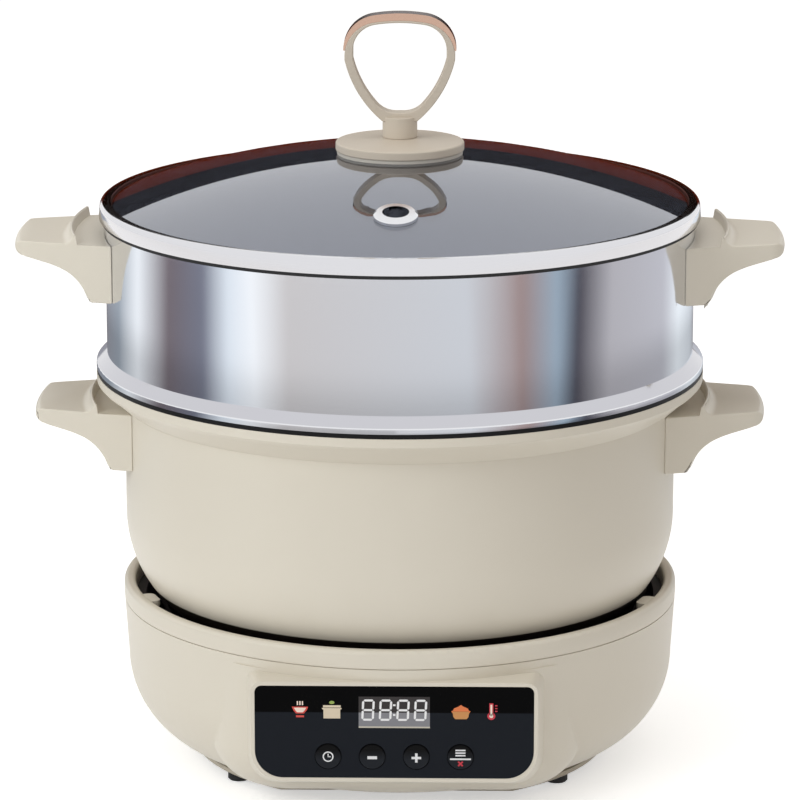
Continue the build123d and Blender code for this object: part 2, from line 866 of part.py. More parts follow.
def bracket_of(wall_radius, top):
    """Left steel bracket: a curved plate on the wall and a tongue that carries the handle."""
    middle = top - tongue_depth_in_handle
    with BuildPart() as bracket:
        with BuildSketch(Plane.XZ):
            with Locations((wall_radius + bracket_sheet / 2, middle - bracket_shift)):
                Rectangle(bracket_sheet, bracket_height)
        revolve(axis=Axis.Z)
        with BuildSketch(Plane.XY.offset(middle - handle_drop)):
            with Locations((-wall_radius, 0)):
                Rectangle(wall_radius, bracket_width)
        extrude(amount=2 * handle_drop, mode=Mode.INTERSECT)
        with BuildSketch(Plane.XY.offset(middle - tongue_sheet / 2)) as tongue:
            with Locations((-wall_radius - (tongue_length + bracket_sheet / 2) / 2, 0)):
                Rectangle(tongue_length - bracket_sheet / 2, tongue_span)
        extrude(amount=tongue_sheet)
        with BuildSketch(Plane.XY.offset(middle - tongue_sheet / 2)):
            with Locations((-wall_radius - handle_screw_place, 0)):
                Circle(screw_radius)
        extrude(amount=tongue_sheet, mode=Mode.SUBTRACT)
    return bracket.part


def handle_of(wall_radius, top, bracket):
    """Left moulded handle: flat top with a curved crest, post against the wall, hollow underside."""
    tip = wall_radius + handle_reach
    crest = wall_radius + crest_place
    low = top - handle_drop
    with BuildPart() as handle:
        with BuildSketch(Plane.XZ) as section:
            with BuildLine():
                inner = Line((wall_radius, top), (wall_radius, low))
                foot_line = Line(inner @ 1, (wall_radius + handle_post, low))
                under = Spline(
                    foot_line @ 1,
                    (wall_radius + handle_post + under_place, top - handle_tip - under_drop),
                    (tip - handle_tip / 2, top - handle_tip),
                    tangents=[(0.35, 1), (1, 0.32)],
                )
                nose = ThreePointArc(under @ 1, (tip, top - handle_tip / 2), (tip - handle_tip / 3, top))
                flat = Line(nose @ 1, (crest + crest_width + crest_slope, top))
                sweep_up = ThreePointArc(
                    flat @ 1,
                    (crest + crest_width + crest_slope / 3, top + crest_height / 4),
                    (crest + crest_width, top + crest_height),
                )
                ridge = Line(sweep_up @ 1, (crest, top + crest_height))
                face_line = Line(ridge @ 1, (crest - crest_width / 2, top))
                Line(face_line @ 1, inner @ 0)
            make_face()
            fillet(section.vertices().group_by(Axis.Y)[0].sort_by(Axis.X)[-1], handle_post_round)
        revolve(axis=Axis.Z)
        with BuildSketch(Plane.XY.offset(low)) as plan:
            with BuildLine():
                Polyline(
                    (handle_root - wall_radius, handle_root_width / 2),
                    (-tip, handle_tip_width / 2),
                    (-tip, -handle_tip_width / 2),
                    (handle_root - wall_radius, -handle_root_width / 2),
                    close=True,
                )
            make_face()
            fillet(plan.vertices().group_by(Axis.X)[0], handle_corner)
        extrude(amount=handle_drop + 2 * crest_height, mode=Mode.INTERSECT)
        add(bracket, mode=Mode.SUBTRACT)
        with BuildSketch(Plane.XY.offset(low)):
            with Locations((-wall_radius - handle_screw_place, 0)):
                Circle(screw_head + fit_gap)
        extrude(amount=handle_screw_head_height, mode=Mode.SUBTRACT)
        with BuildSketch(Plane.XY.offset(low)):
            with Locations((-wall_radius - handle_screw_place, 0)):
                Circle(screw_radius)
        extrude(amount=handle_drop - tongue_depth_in_handle + tongue_sheet / 2, mode=Mode.SUBTRACT)
    return handle.part


def handle_screws_of(wall_radius, top):
    """Two screws, one up into each handle's bracket."""
    seat = top - handle_drop + handle_screw_head_height
    with BuildPart() as screws:
        with BuildSketch(Plane.XY.offset(seat - screw_head_height)):
            with GridLocations(2 * (wall_radius + handle_screw_place), 0, 2, 1):
                Circle(screw_head)
        extrude(amount=screw_head_height)
        with BuildSketch(Plane.XY.offset(seat)):
            with GridLocations(2 * (wall_radius + handle_screw_place), 0, 2, 1):
                Circle(screw_radius)
        extrude(amount=top - tongue_depth_in_handle + tongue_sheet / 2 - seat)
    return screws.part


# Handles, brackets and screws of the pot and of the steamer
handle_owners = (
    ("pot", pot_radius, pot_handle_top),
    ("steamer", steamer_radius, steamer_handle_top),
)
for owner, wall_radius, top in handle_owners:
    left_bracket = bracket_of(wall_radius, top)
    left_handle = handle_of(wall_radius, top, left_bracket)
    for kind, left in (("bracket", left_bracket), ("handle", left_handle)):
        right = left.mirror(Plane.YZ)
        for name, piece in (("left", left), ("right", right)):
            piece.label = f"{owner}_{kind}_{name}"
            export_step(piece, f"parts/{owner}_{kind}_{name}.step")
    screws = handle_screws_of(wall_radius, top)
    screws.label = f"{owner}_handle_screws"
    export_step(screws, f"parts/{owner}_handle_screws.step")

# Steel steamer ring: upright wall, sloped flange, lip on the pot's rim, skirt and ledge inside
ledge_z = steamer_z - skirt_depth
ring_inner = steamer_radius - steel_sheet
flange_top = steamer_z + lip_height + flange_height
with BuildPart() as steamer_ring:
    with BuildSketch(Plane.XZ) as wall_section:
        with BuildLine():
            Polyline(
                (steamer_radius, steamer_top),
                (steamer_radius, flange_top),
                (lip_radius, steamer_z + lip_height),
                (lip_radius, steamer_z),
                (lip_radius - steel_sheet, steamer_z),
                (lip_radius - steel_sheet, steamer_z + lip_height - steel_sheet / 2),
                (steamer_radius, flange_top - 1.5 * steel_sheet),
                (steamer_radius, ledge_z),
                (steamer_radius - ledge_width, ledge_z),
                (steamer_radius - ledge_width, ledge_z + steel_sheet),
                (ring_inner, ledge_z + steel_sheet),
                (ring_inner, steamer_top),
                close=True,
            )
        make_face()
        fillet(wall_section.vertices().group_by(Axis.X)[-1].sort_by(Axis.Y)[-1], lip_round)
    revolve(axis=Axis.Z)
steamer_ring.part.label = "steamer_ring"
export_step(steamer_ring.part, "parts/steamer_ring.step")

# Perforated steam plate that lies on the ring's ledge
steam_plate_z = ledge_z + steel_sheet + rest_gap
outer_ring = ring_inner - lift_gap - steam_margin
with BuildPart() as steam_plate:
    with BuildSketch(Plane.XY.offset(steam_plate_z)):
        Circle(ring_inner - lift_gap)
        for ring in range(1, steam_rings + 1):
            with PolarLocations(outer_ring * ring / steam_rings, steam_ring_holes * ring):
                Circle(steam_hole, mode=Mode.SUBTRACT)
    extrude(amount=plate_sheet)
steam_plate.part.label = "steam_plate"
export_step(steam_plate.part, "parts/steam_plate.step")

# Glass dome of the lid, with holes for the knob's screw and the steam vent
vent_rise = math.sqrt(dome_radius**2 - vent_place**2)
vent_plane = Plane(
    origin=(0, -vent_place, dome_top - dome_radius + vent_rise),
    x_dir=(1, 0, 0),
    z_dir=(0, -vent_place, vent_rise),
)
with BuildPart() as lid_glass:
    with BuildSketch(Plane.XZ):
        with BuildLine():
            top_arc = ThreePointArc(
                (0, dome_top),
                (glass_radius / 2, dome_height(glass_radius / 2)),
                (glass_radius, glass_edge),
            )
            edge = Line(top_arc @ 1, (glass_radius, glass_z))
            low_arc = ThreePointArc(
                edge @ 1,
                (glass_radius / 2, dome_height(glass_radius / 2) - glass_thickness),
                (0, dome_top - glass_thickness),
            )
            Line(low_arc @ 1, top_arc @ 0)
        make_face()
    revolve(axis=Axis.Z)
    with BuildSketch(Plane.XY.offset(dome_top - 2 * glass_thickness)):
        Circle(knob_screw_radius + press_gap)
    extrude(amount=3 * glass_thickness, mode=Mode.SUBTRACT)
    with BuildSketch(vent_plane.offset(-2 * glass_thickness)):
        Circle(vent_tube + fit_gap)
    extrude(amount=3 * glass_thickness, mode=Mode.SUBTRACT)
lid_glass.part.label = "lid_glass"
export_step(lid_glass.part, "parts/lid_glass.step")

# Rolled steel rim round the glass, with a web that rests on the ring and a skirt inside it
rim_lip_z = dome_height(glass_radius - rim_lip) + fit_gap
skirt_outer = ring_inner - lift_gap
with BuildPart() as lid_rim:
    with BuildSketch(Plane.XZ) as rim_section:
        with BuildLine():
            Polyline(
                (lid_radius, web_z - rim_overlap),
                (lid_radius, rim_lip_z + steel_sheet),
                (glass_radius - rim_lip, rim_lip_z + steel_sheet),
                (glass_radius - rim_lip, rim_lip_z),
                (lid_radius - steel_sheet, rim_lip_z),
                (lid_radius - steel_sheet, glass_z),
                (skirt_outer - steel_sheet, glass_z),
                (skirt_outer - steel_sheet, web_z - rim_skirt),
                (skirt_outer, web_z - rim_skirt),
                (skirt_outer, web_z),
                (lid_radius - steel_sheet, web_z),
                (lid_radius - steel_sheet, web_z - rim_overlap),
                close=True,
            )
        make_face()
        fillet(rim_section.vertices().group_by(Axis.Y)[-1].sort_by(Axis.X)[-1], rim_round)
    revolve(axis=Axis.Z)
lid_rim.part.label = "lid_rim"
export_step(lid_rim.part, "parts/lid_rim.step")

# Silicone gasket between the glass and the knob's disc
with BuildPart() as knob_gasket:
    with BuildSketch(Plane.XZ):
        with BuildLine():
            seat = ThreePointArc(
                (knob_screw_radius, dome_height(knob_screw_radius)),
                (gasket_radius / 2, dome_height(gasket_radius / 2)),
                (gasket_radius, dome_height(gasket_radius)),
            )
            Polyline(seat @ 1, (gasket_radius, disc_z), (knob_screw_radius, disc_z), seat @ 0)
        make_face()
    revolve(axis=Axis.Z)
knob_gasket.part.label = "knob_gasket"
export_step(knob_gasket.part, "parts/knob_gasket.step")

# Knob disc, crowned towards its neck
with BuildPart() as knob_disc:
    with BuildSketch(Plane.XZ) as disc_section:
        with BuildLine():
            Polyline(
                (knob_screw_radius, neck_z),
                (knob_screw_radius, disc_z),
                (knob_radius, disc_z),
                (knob_radius, disc_z + knob_edge),
                (neck_radius, neck_z),
                close=True,
            )
        make_face()
        fillet(disc_section.vertices().group_by(Axis.X)[-1], knob_round)
    revolve(axis=Axis.Z)
knob_disc.part.label = "knob_disc"
export_step(knob_disc.part, "parts/knob_disc.step")


def loop_face(grow, top_z):
    """Outline of the knob's loop, a rounded triangle, grown all round; a smaller one is round below too."""
    side_x = (loop_half + neck_radius) / 2
    side_z = (shoulder_z + loop_z) / 2
    with BuildSketch(Plane.XZ) as face:
        with BuildLine():
            right = ThreePointArc(
                (neck_radius, loop_z),
                (side_x + loop_side_bulge, side_z - loop_side_bulge / 2),
                (loop_half, shoulder_z),
            )
            crown = ThreePointArc(
                (loop_half, top_z - loop_top_sag),
                (0, top_z),
                (-loop_half, top_z - loop_top_sag),
            )
            left = ThreePointArc(
                (-loop_half, shoulder_z),
                (-side_x - loop_side_bulge, side_z - loop_side_bulge / 2),
                (-neck_radius, loop_z),
            )
            Line(right @ 1, crown @ 0)
            Line(crown @ 1, left @ 0)
            Line(left @ 1, right @ 0)
        make_face()
        fillet(face.vertices().group_by(Axis.Y)[-1], loop_corner)
        if grow:
            offset(amount=grow)
        if grow < 0:
            fillet(face.vertices().group_by(Axis.Y)[0], loop_seat_round)
    return face.sketch


# Knob loop on its neck, open in the middle for the fingers
with BuildPart() as knob_loop:
    extrude(loop_face(0, loop_top - trim_rise), amount=loop_depth / 2, both=True)
    extrude(loop_face(-loop_strip, loop_top), amount=loop_depth, both=True, mode=Mode.SUBTRACT)
    with BuildSketch(Plane.XY.offset(neck_z)):
        Circle(neck_radius)
    extrude(amount=neck_height + loop_strip / 2)
    with BuildSketch(Plane.XY.offset(neck_z)):
        Circle(knob_screw_radius)
    extrude(amount=knob_screw_depth, mode=Mode.SUBTRACT)
knob_loop.part.label = "knob_loop"
export_step(knob_loop.part, "parts/knob_loop.step")

# Metal trim over the loop's crown, a crescent that thins out down the sides
with BuildPart() as loop_trim:
    extrude(loop_face(trim_wall, loop_top), amount=loop_depth / 2 - trim_inset, both=True)
    extrude(loop_face(0, loop_top - trim_rise), amount=loop_depth, both=True, mode=Mode.SUBTRACT)
    with BuildSketch(Plane.XY.offset(trim_z)):
        Rectangle(4 * loop_half, 2 * loop_depth)
    extrude(amount=loop_height, mode=Mode.INTERSECT)
loop_trim.part.label = "loop_trim"
export_step(loop_trim.part, "parts/loop_trim.step")

# Washer and screw that hold the knob from inside the lid
washer_top = dome_height(washer_radius) - glass_thickness
with BuildPart() as knob_washer:
    with BuildSketch(Plane.XY.offset(washer_top - washer_thickness)):
        Circle(washer_radius)
        Circle(knob_screw_radius, mode=Mode.SUBTRACT)
    extrude(amount=washer_thickness)
knob_washer.part.label = "knob_washer"
export_step(knob_washer.part, "parts/knob_washer.step")

with BuildPart() as knob_screw:
    with BuildSketch(Plane.XY.offset(washer_top - washer_thickness - knob_screw_head_height)):
        Circle(knob_screw_head)
    extrude(amount=knob_screw_head_height)
    chamfer(knob_screw.edges().group_by(Axis.Z)[0], knob_screw_chamfer)
    with BuildSketch(Plane.XY.offset(washer_top - washer_thickness)):
        Circle(knob_screw_radius)
    extrude(amount=neck_z + knob_screw_depth - washer_top + washer_thickness)
knob_screw.part.label = "knob_screw"
export_step(knob_screw.part, "parts/knob_screw.step")

# Steel steam vent: an eyelet through the front of the dome
vent_low = -glass_thickness - fit_gap
with BuildPart() as steam_vent:
    with BuildSketch(vent_plane):
        Circle(vent_flange)
    extrude(amount=vent_collar)
    chamfer(steam_vent.faces().sort_by(Axis.Z)[-1].edges(), vent_chamfer)
    with BuildSketch(vent_plane.offset(vent_low)):
        Circle(vent_tube)
    extrude(amount=-vent_low)
    with BuildSketch(vent_plane.offset(vent_low - vent_lip)):
        Circle(vent_flange)
    extrude(amount=vent_lip)
    with BuildSketch(vent_plane.offset(vent_low - vent_lip)):
        Circle(vent_bore)
    extrude(amount=vent_collar + vent_lip - vent_low, mode=Mode.SUBTRACT)
steam_vent.part.label = "steam_vent"
export_step(steam_vent.part, "parts/steam_vent.step")
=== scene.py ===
"""Dresses the electric stew pot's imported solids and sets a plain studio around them."""
import json
import math

import bmesh
import bpy
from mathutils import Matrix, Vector


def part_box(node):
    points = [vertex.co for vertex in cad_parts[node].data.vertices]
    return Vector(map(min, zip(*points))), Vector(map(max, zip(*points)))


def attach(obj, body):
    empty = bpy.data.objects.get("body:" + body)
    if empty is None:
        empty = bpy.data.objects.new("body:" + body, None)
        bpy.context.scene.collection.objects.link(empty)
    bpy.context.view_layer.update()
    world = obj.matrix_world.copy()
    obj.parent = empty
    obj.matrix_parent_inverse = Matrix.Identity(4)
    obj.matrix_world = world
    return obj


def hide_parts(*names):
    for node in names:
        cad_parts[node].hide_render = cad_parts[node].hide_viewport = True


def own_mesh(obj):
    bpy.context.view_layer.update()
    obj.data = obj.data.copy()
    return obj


bl_info = {
    "name": "Electric Stew Pot",
    "version": (1, 0, 0),
    "blender": (4, 5, 0),
    "location": "View3D > Sidebar > Stew Pot",
    "description": "Finishes, moulded edges, panel print and studio of an electric stew pot",
    "category": "Object",
}

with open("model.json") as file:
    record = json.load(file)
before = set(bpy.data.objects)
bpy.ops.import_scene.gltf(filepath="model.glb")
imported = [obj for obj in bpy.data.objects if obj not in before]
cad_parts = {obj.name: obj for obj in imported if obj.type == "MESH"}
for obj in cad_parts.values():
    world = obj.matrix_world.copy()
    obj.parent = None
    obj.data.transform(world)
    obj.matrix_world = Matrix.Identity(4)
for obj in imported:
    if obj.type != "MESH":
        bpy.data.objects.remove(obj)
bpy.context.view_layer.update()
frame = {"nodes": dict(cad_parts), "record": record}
body_of = {node: body for body, nodes in frame["record"]["behaviour"]["bodies"].items() for node in nodes}

# The scene is in metres, and the printed outlines are drawn in millimetres
per_metre = 1000

# Clean-up of the solids' meshes: distances in metres and angles in radians
weld = 1e-6
sliver = 3e-5
same_plane = math.radians(0.3)
shading_break = math.radians(32)
rounded_corner = math.radians(35)

# Outward share past which a face is taken to look away from the upright axis, or towards it below zero
slant = 1e-4


def rgb(code):
    """Linear colour of a hex code."""
    channels = [int(code[i:i + 2], 16) / 255 for i in (1, 3, 5)]
    return tuple(c / 12.92 if c <= 0.04045 else ((c + 0.055) / 1.055) ** 2.4 for c in channels)


def colour(label, words, code):
    """Colour property whose default is a hex code."""
    return bpy.props.FloatVectorProperty(
        name=label, description=words, subtype="COLOR", size=3, min=0, max=1, default=rgb(code)
    )


def length(label, words, millimetres):
    """Length property whose default is given in millimetres."""
    return bpy.props.FloatProperty(
        name=label, description=words, unit="LENGTH", precision=5, default=millimetres / per_metre
    )


def level(label, words, value):
    """Light level property."""
    return bpy.props.FloatProperty(name=label, description=words, min=0, default=value)


class StewPotColours(bpy.types.PropertyGroup):
    """Colours of the finishes."""

    cream: colour("Cream", "Moulded housing, handles and knob", "#D9D2C4")
    enamel: colour("Pot enamel", "Coating outside the pot", "#DAD3C5")
    # Near-black of the pot's bottom: painted shade in the gap between the pot and the base
    bottom_shade: colour("Bottom shade", "Pot bottom painted dark as shade", "#1B1512")
    nonstick: colour("Non-stick", "Coating inside the pot and on its top edge", "#0E0E10")
    steel: colour("Steel", "Polished steamer ring and rims", "#E6E7EA")
    rim: colour("Lid rim", "Rolled steel rim of the lid", "#DEDEE2")
    # Darker copy of the ring's steel for the sloped flange: painted shade
    flange_painted_shade: colour("Flange", "Sloped foot of the steamer ring", "#CBCBD1")
    # Black above and slate below a height on the control window and caps: a painted reflection
    black: colour("Panel black", "Upper part of the control window", "#050506")
    slate: colour("Panel slate", "Lower part of the control window", "#1F2228")
    knob: colour("Knob", "Disc and loop of the lid's knob", "#CBC0B1")
    trim: colour("Trim", "Metal over the loop's crown", "#BE9F8E")
    # The trim's dark outer band is a painted reflection
    trim_dark_reflection: colour("Trim edge", "Outer band of the loop's trim, painted dark as a reflection", "#4A2E26")
    glass: colour("Glass", "Tint of the lid", "#AAAEB9")
    seal: colour("Seal", "Brown seal inside the lid's rim", "#5A2412")
    basin: colour("Basin", "Dark coating of the heat basin", "#17130F")
    # Lighter sides of the basin's fins: painted highlight
    fin_highlight: colour("Fins", "Sides of the basin's fins, lighter as a painted highlight", "#6E6A68")


class StewPotSizes(bpy.types.PropertyGroup):
    """Sizes of what the scene adds to the solids."""

    edge: length("Moulded edge", "Rounding of the handles' edges", 0.8)
    loop_edge: length("Loop edge", "Rounding of the knob loop's edges", 0.5)
    # The dark ring under the lid's rim is painted shade, not a part of the lid
    shade_ring_drop: length("Shade ring drop", "Height of the dark ring under the lid's rim, painted shade", 1.9)
    glass: length("Glass", "Thickness of the lid's dome", 3.3)
    rim_lean: bpy.props.FloatProperty(
        name="Rim lean", description="Inward lean of the lid rim's rolled band", subtype="ANGLE",
        default=math.radians(5),
    )
    lift: length("Print lift", "Height of printed marks over the window and buttons", 0.05)
    shade_line: length("Shade line", "Height over the table below which the pot is painted dark as shade", 92.0)
    reflection_line: length("Reflection line", "Height over the table where the window turns from black to slate", 61.4)


class StewPotStudio(bpy.types.PropertyGroup):
    """Light levels of the studio."""

    fill: level("Fill", "Level of the world on matte surfaces", 0.55)
    floor: level("Floor", "Glow that keeps the floor white", 0.5)
    wall: level("Wall", "Level of the wall that the steel mirrors", 1.25)
    back: level("Back", "Level of the dark screens behind", 0.35)
    fill_tint: colour("Fill tint", "Warm cast of the world on matte surfaces", "#FFFBF6")
    key_tint: colour("Key tint", "Cool cast of the lamp at the left", "#F7FDFF")
    key: bpy.props.FloatProperty(
        name="Key", description="Power of the lamp at the left", subtype="POWER", unit="POWER", default=22
    )
    top: bpy.props.FloatProperty(
        name="Top", description="Power of the lamp above", subtype="POWER", unit="POWER", default=10
    )


def add_object(name, mesh):
    """New object at the origin, in the scene's collection."""
    obj = bpy.data.objects.new(name, mesh)
    bpy.context.scene.collection.objects.link(obj)
    return obj


def smooth(mesh):
    """Smooth shading that breaks at sharp edges."""
    mesh.shade_smooth()
    mesh.set_sharp_from_angle(angle=shading_break)


def dress(node, material, edge=0.0):
    """Smooth skin in the place of a solid, with its outer edges rounded where a width is given."""
    mesh = frame["nodes"][node].data.copy()
    if "custom_normal" in mesh.attributes:
        mesh.attributes.remove(mesh.attributes["custom_normal"])
    bm = bmesh.new()
    bm.from_mesh(mesh)
    bmesh.ops.remove_doubles(bm, verts=bm.verts, dist=weld)
    bmesh.ops.dissolve_degenerate(bm, dist=sliver, edges=bm.edges)
    if edge:
        bmesh.ops.dissolve_limit(bm, angle_limit=same_plane, verts=bm.verts, edges=bm.edges)
    weight = bm.edges.layers.float.new("bevel_weight_edge")
    for line in bm.edges:
        corner = line.calc_face_angle(0) if line.is_convex else 0
        line[weight] = 1.0 if corner > rounded_corner else 0.0
    bm.to_mesh(mesh)
    bm.free()
    mesh.materials.clear()
    mesh.materials.append(material)
    for polygon in mesh.polygons:
        polygon.material_index = 0
    obj = add_object(f"{node}_skin", mesh)
    smooth(mesh)
    if edge:
        rounding = obj.modifiers.new("Moulded edge", "BEVEL")
        rounding.width = edge
        rounding.segments = 3
        rounding.limit_method = "WEIGHT"
        rounding.use_clamp_overlap = False
        rounding.harden_normals = True
    else:
        shading = obj.modifiers.new("Even shading", "WEIGHTED_NORMAL")
        shading.mode = "FACE_AREA"
        shading.keep_sharp = True
    stand_in(obj, node)
    return obj


def stand_in(obj, node):
    """Puts a skin in the place of a solid, on its body, and hides the solid."""
    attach(obj, body_of[node])
    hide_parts(node)


def paint(node, material):
    """Gives a solid that keeps its own shape a finish."""
    materials = frame["nodes"][node].data.materials
    materials.clear()
    materials.append(material)


def outward_share(middle, normal):
    """How far a face looks away from the upright axis, below zero where it looks inwards."""
    return normal.x * middle.x + normal.y * middle.y


def zone(obj, material, test):
    """Gives the faces whose centre and normal pass the test a material of their own."""
    obj.data.materials.append(material)
    index = len(obj.data.materials) - 1
    for polygon in obj.data.polygons:
        if test(polygon.center, polygon.normal):
            polygon.material_index = index


def turned(name, section, material, steps=180):
    """Ring round the upright axis from a closed section of radii and heights."""
    mesh = bpy.data.meshes.new(name)
    count = len(section)
    turns = [math.tau * i / steps for i in range(steps)]
    points = [(r * math.cos(t), r * math.sin(t), z) for t in turns for r, z in section]
    faces = []
    for i in range(steps):
        near, far = i * count, (i + 1) % steps * count
        for k in range(count):
            after = (k + 1) % count
            faces.append((near + k, far + k, far + after, near + after))
    mesh.from_pydata(points, [], faces)
    mesh.materials.append(material)
    smooth(mesh)
    return add_object(name, mesh)


def node_group(name, kind, inputs, outputs):
    """New node group with named sockets."""
    group = bpy.data.node_groups.new(name, kind)
    for way, sockets in (("INPUT", inputs), ("OUTPUT", outputs)):
        for label, socket in sockets.items():
            group.interface.new_socket(label, in_out=way, socket_type=f"NodeSocket{socket}")
    return group


def row_tree():
    """Geometry nodes that repeat a mark along a straight row."""
    name = "Row of marks"
    if name in bpy.data.node_groups:
        return bpy.data.node_groups[name]
    inputs = {"Mark": "Geometry", "Count": "Int", "Start": "Vector", "Pitch": "Vector", "Finish": "Material"}
    tree = node_group(name, "GeometryNodeTree", inputs, {"Row": "Geometry"})
    nodes, link = tree.nodes, tree.links.new
    given = nodes.new("NodeGroupInput")
    line = nodes.new("GeometryNodeMeshLine")
    link(given.outputs["Count"], line.inputs["Count"])
    link(given.outputs["Start"], line.inputs["Start Location"])
    link(given.outputs["Pitch"], line.inputs["Offset"])
    copies = nodes.new("GeometryNodeInstanceOnPoints")
    link(line.outputs["Mesh"], copies.inputs["Points"])
    link(given.outputs["Mark"], copies.inputs["Instance"])
    real = nodes.new("GeometryNodeRealizeInstances")
    link(copies.outputs["Instances"], real.inputs["Geometry"])
    finish = nodes.new("GeometryNodeSetMaterial")
    link(real.outputs["Geometry"], finish.inputs["Geometry"])
    link(given.outputs["Finish"], finish.inputs["Material"])
    result = nodes.new("NodeGroupOutput")
    link(finish.outputs["Geometry"], result.inputs["Row"])
    return tree


def bake(obj, tree, values):
    """Runs a geometry tree on an object with the named values and keeps the plain mesh."""
    modifier = obj.modifiers.new(tree.name, "NODES")
    modifier.node_group = tree
    for item in tree.interface.items_tree:
        if item.item_type == "SOCKET" and item.in_out == "INPUT" and item.name in values:
            modifier[item.identifier] = values[item.name]
    graph = bpy.context.evaluated_depsgraph_get()
    mesh = bpy.data.meshes.new_from_object(obj.evaluated_get(graph))
    obj.modifiers.remove(modifier)
    obj.data = mesh


def sheet(name, groups, place, front):
    """Flat marks in layers of one finish each, as outlines in millimetres round a place on the front."""
    lift = bpy.context.scene.stew_sizes.lift
    mesh = bpy.data.meshes.new(name)
    points, faces, finishes = [], [], []
    for material, outlines in groups:
        mesh.materials.append(material)
        for outline in outlines:
            faces.append(range(len(points), len(points) + len(outline)))
            finishes.append(len(mesh.materials) - 1)
            depth = front + lift * len(mesh.materials)
            points += [((place[0] + x) / per_metre, -depth, (place[1] + z) / per_metre) for x, z in outline]
    mesh.from_pydata(points, [], faces)
    for polygon, finish in zip(mesh.polygons, finishes):
        polygon.material_index = finish
    return add_object(name, mesh)


def belong(obj, node):
    """Lets a mark ride with a solid's body."""
    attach(obj, body_of[node])
    return obj


def bar(start, end, thickness, point=0.0):
    """Straight bar between two points, with pointed ends where a length is given."""
    along = (Vector(end) - Vector(start)).normalized()
    side = Vector((-along.y, along.x)) * thickness / 2
    start, end = Vector(start), Vector(end)
    near, far = start + along * point, end - along * point
    outline = [near - side, far - side, end, far + side, near + side, start]
    if not point:
        outline = [near - side, far - side, far + side, near + side]
    return [tuple(corner) for corner in outline]


def disc(middle, radius, flat=1.0, steps=28):
    """Round mark, flattened in height where asked."""
    turns = [math.tau * i / steps for i in range(steps)]
    return [(middle[0] + radius * math.cos(t), middle[1] + radius * flat * math.sin(t)) for t in turns]


def hoop(middle, inner, outer, steps=32):
    """Ring as a list of short pieces."""
    pieces = []
    for i in range(steps):
        spokes = [(math.cos(math.tau * k / steps), math.sin(math.tau * k / steps)) for k in (i, i + 1)]
        (c, s), (d, e) = spokes
        ring = [(inner * c, inner * s), (outer * c, outer * s)]
        ring += [(outer * d, outer * e), (inner * d, inner * e)]
        pieces.append([(middle[0] + x, middle[1] + z) for x, z in ring])
    return pieces


def mirrored(half):
    """Closed outline from its right half, listed from the bottom up."""
    return list(half) + [(-x, z) for x, z in reversed(half) if x]


def put(tree, term, socket):
    """Links a socket to another, or sets it to a plain value."""
    if isinstance(term, bpy.types.NodeSocket):
        tree.links.new(term, socket)
    else:
        socket.default_value = term


def calc(tree, operation, *terms, clamp=False):
    """Result of a math node whose terms are sockets or numbers."""
    node = tree.nodes.new("ShaderNodeMath")
    node.operation = operation
    node.use_clamp = clamp
    for term, socket in zip(terms, node.inputs):
        put(tree, term, socket)
    return node.outputs[0]


def blend(tree, share, first, second, kind="RGBA", way="MIX"):
    """Result of a mix of two colours or two numbers, each a socket or a value."""
    node = tree.nodes.new("ShaderNodeMix")
    node.data_type = kind
    node.blend_type = way
    place, out = (6, 2) if kind == "RGBA" else (2, 0)
    put(tree, share, node.inputs[0])
    put(tree, first, node.inputs[place])
    put(tree, second, node.inputs[place + 1])
    return node.outputs[out]


def noise(tree, place, scale, detail):
    """Noise over a place, with a scale that is a socket or a number."""
    node = tree.nodes.new("ShaderNodeTexNoise")
    node.inputs["Detail"].default_value = detail
    tree.links.new(place, node.inputs["Vector"])
    put(tree, scale, node.inputs["Scale"])
    return node.outputs["Fac"]


def relief(tree, height, depth):
    """Normal of a bump of a height and a depth."""
    bump = tree.nodes.new("ShaderNodeBump")
    bump.inputs["Strength"].default_value = 1
    tree.links.new(depth, bump.inputs["Distance"])
    tree.links.new(height, bump.inputs["Height"])
    return bump.outputs[0]


def grain_group():
    """Fine moulded grain: slight colour drift, roughness and bump."""
    name = "Moulded grain"
    if name in bpy.data.node_groups:
        return bpy.data.node_groups[name]
    inputs = {"Colour": "Color", "Drift": "Float", "Roughness": "Float", "Scale": "Float", "Depth": "Float"}
    outputs = {"Colour": "Color", "Roughness": "Float", "Normal": "Vector"}
    group = node_group(name, "ShaderNodeTree", inputs, outputs)
    nodes, link = group.nodes, group.links.new
    given, result = nodes.new("NodeGroupInput"), nodes.new("NodeGroupOutput")
    place = nodes.new("ShaderNodeTexCoord").outputs["Object"]
    fine = noise(group, place, given.outputs["Scale"], 4)
    broad = noise(group, place, 9, 2)
    rough_spread = 0.08
    drift = calc(group, "MULTIPLY_ADD", broad, given.outputs["Drift"], 1)
    tone = blend(group, 1, given.outputs["Colour"], drift, way="MULTIPLY")
    rough = calc(group, "MULTIPLY_ADD", fine, rough_spread, given.outputs["Roughness"])
    link(tone, result.inputs["Colour"])
    link(rough, result.inputs["Roughness"])
    link(relief(group, fine, given.outputs["Depth"]), result.inputs["Normal"])
    return group


def polish_group():
    """Fine polishing lines that run round a turned metal piece."""
    name = "Polish lines"
    if name in bpy.data.node_groups:
        return bpy.data.node_groups[name]
    inputs = {"Roughness": "Float", "Spread": "Float", "Depth": "Float"}
    group = node_group(name, "ShaderNodeTree", inputs, {"Roughness": "Float", "Normal": "Vector"})
    nodes, link = group.nodes, group.links.new
    given, result = nodes.new("NodeGroupInput"), nodes.new("NodeGroupOutput")
    place = nodes.new("ShaderNodeTexCoord")
    stretch = nodes.new("ShaderNodeMapping")
    stretch.inputs["Scale"].default_value = (14, 14, 2600)
    link(place.outputs["Object"], stretch.inputs["Vector"])
    lines = noise(group, stretch.outputs[0], 1, 3)
    rough = calc(group, "MULTIPLY_ADD", lines, given.outputs["Spread"], given.outputs["Roughness"])
    link(rough, result.inputs["Roughness"])
    link(relief(group, lines, given.outputs["Depth"]), result.inputs["Normal"])
    return group


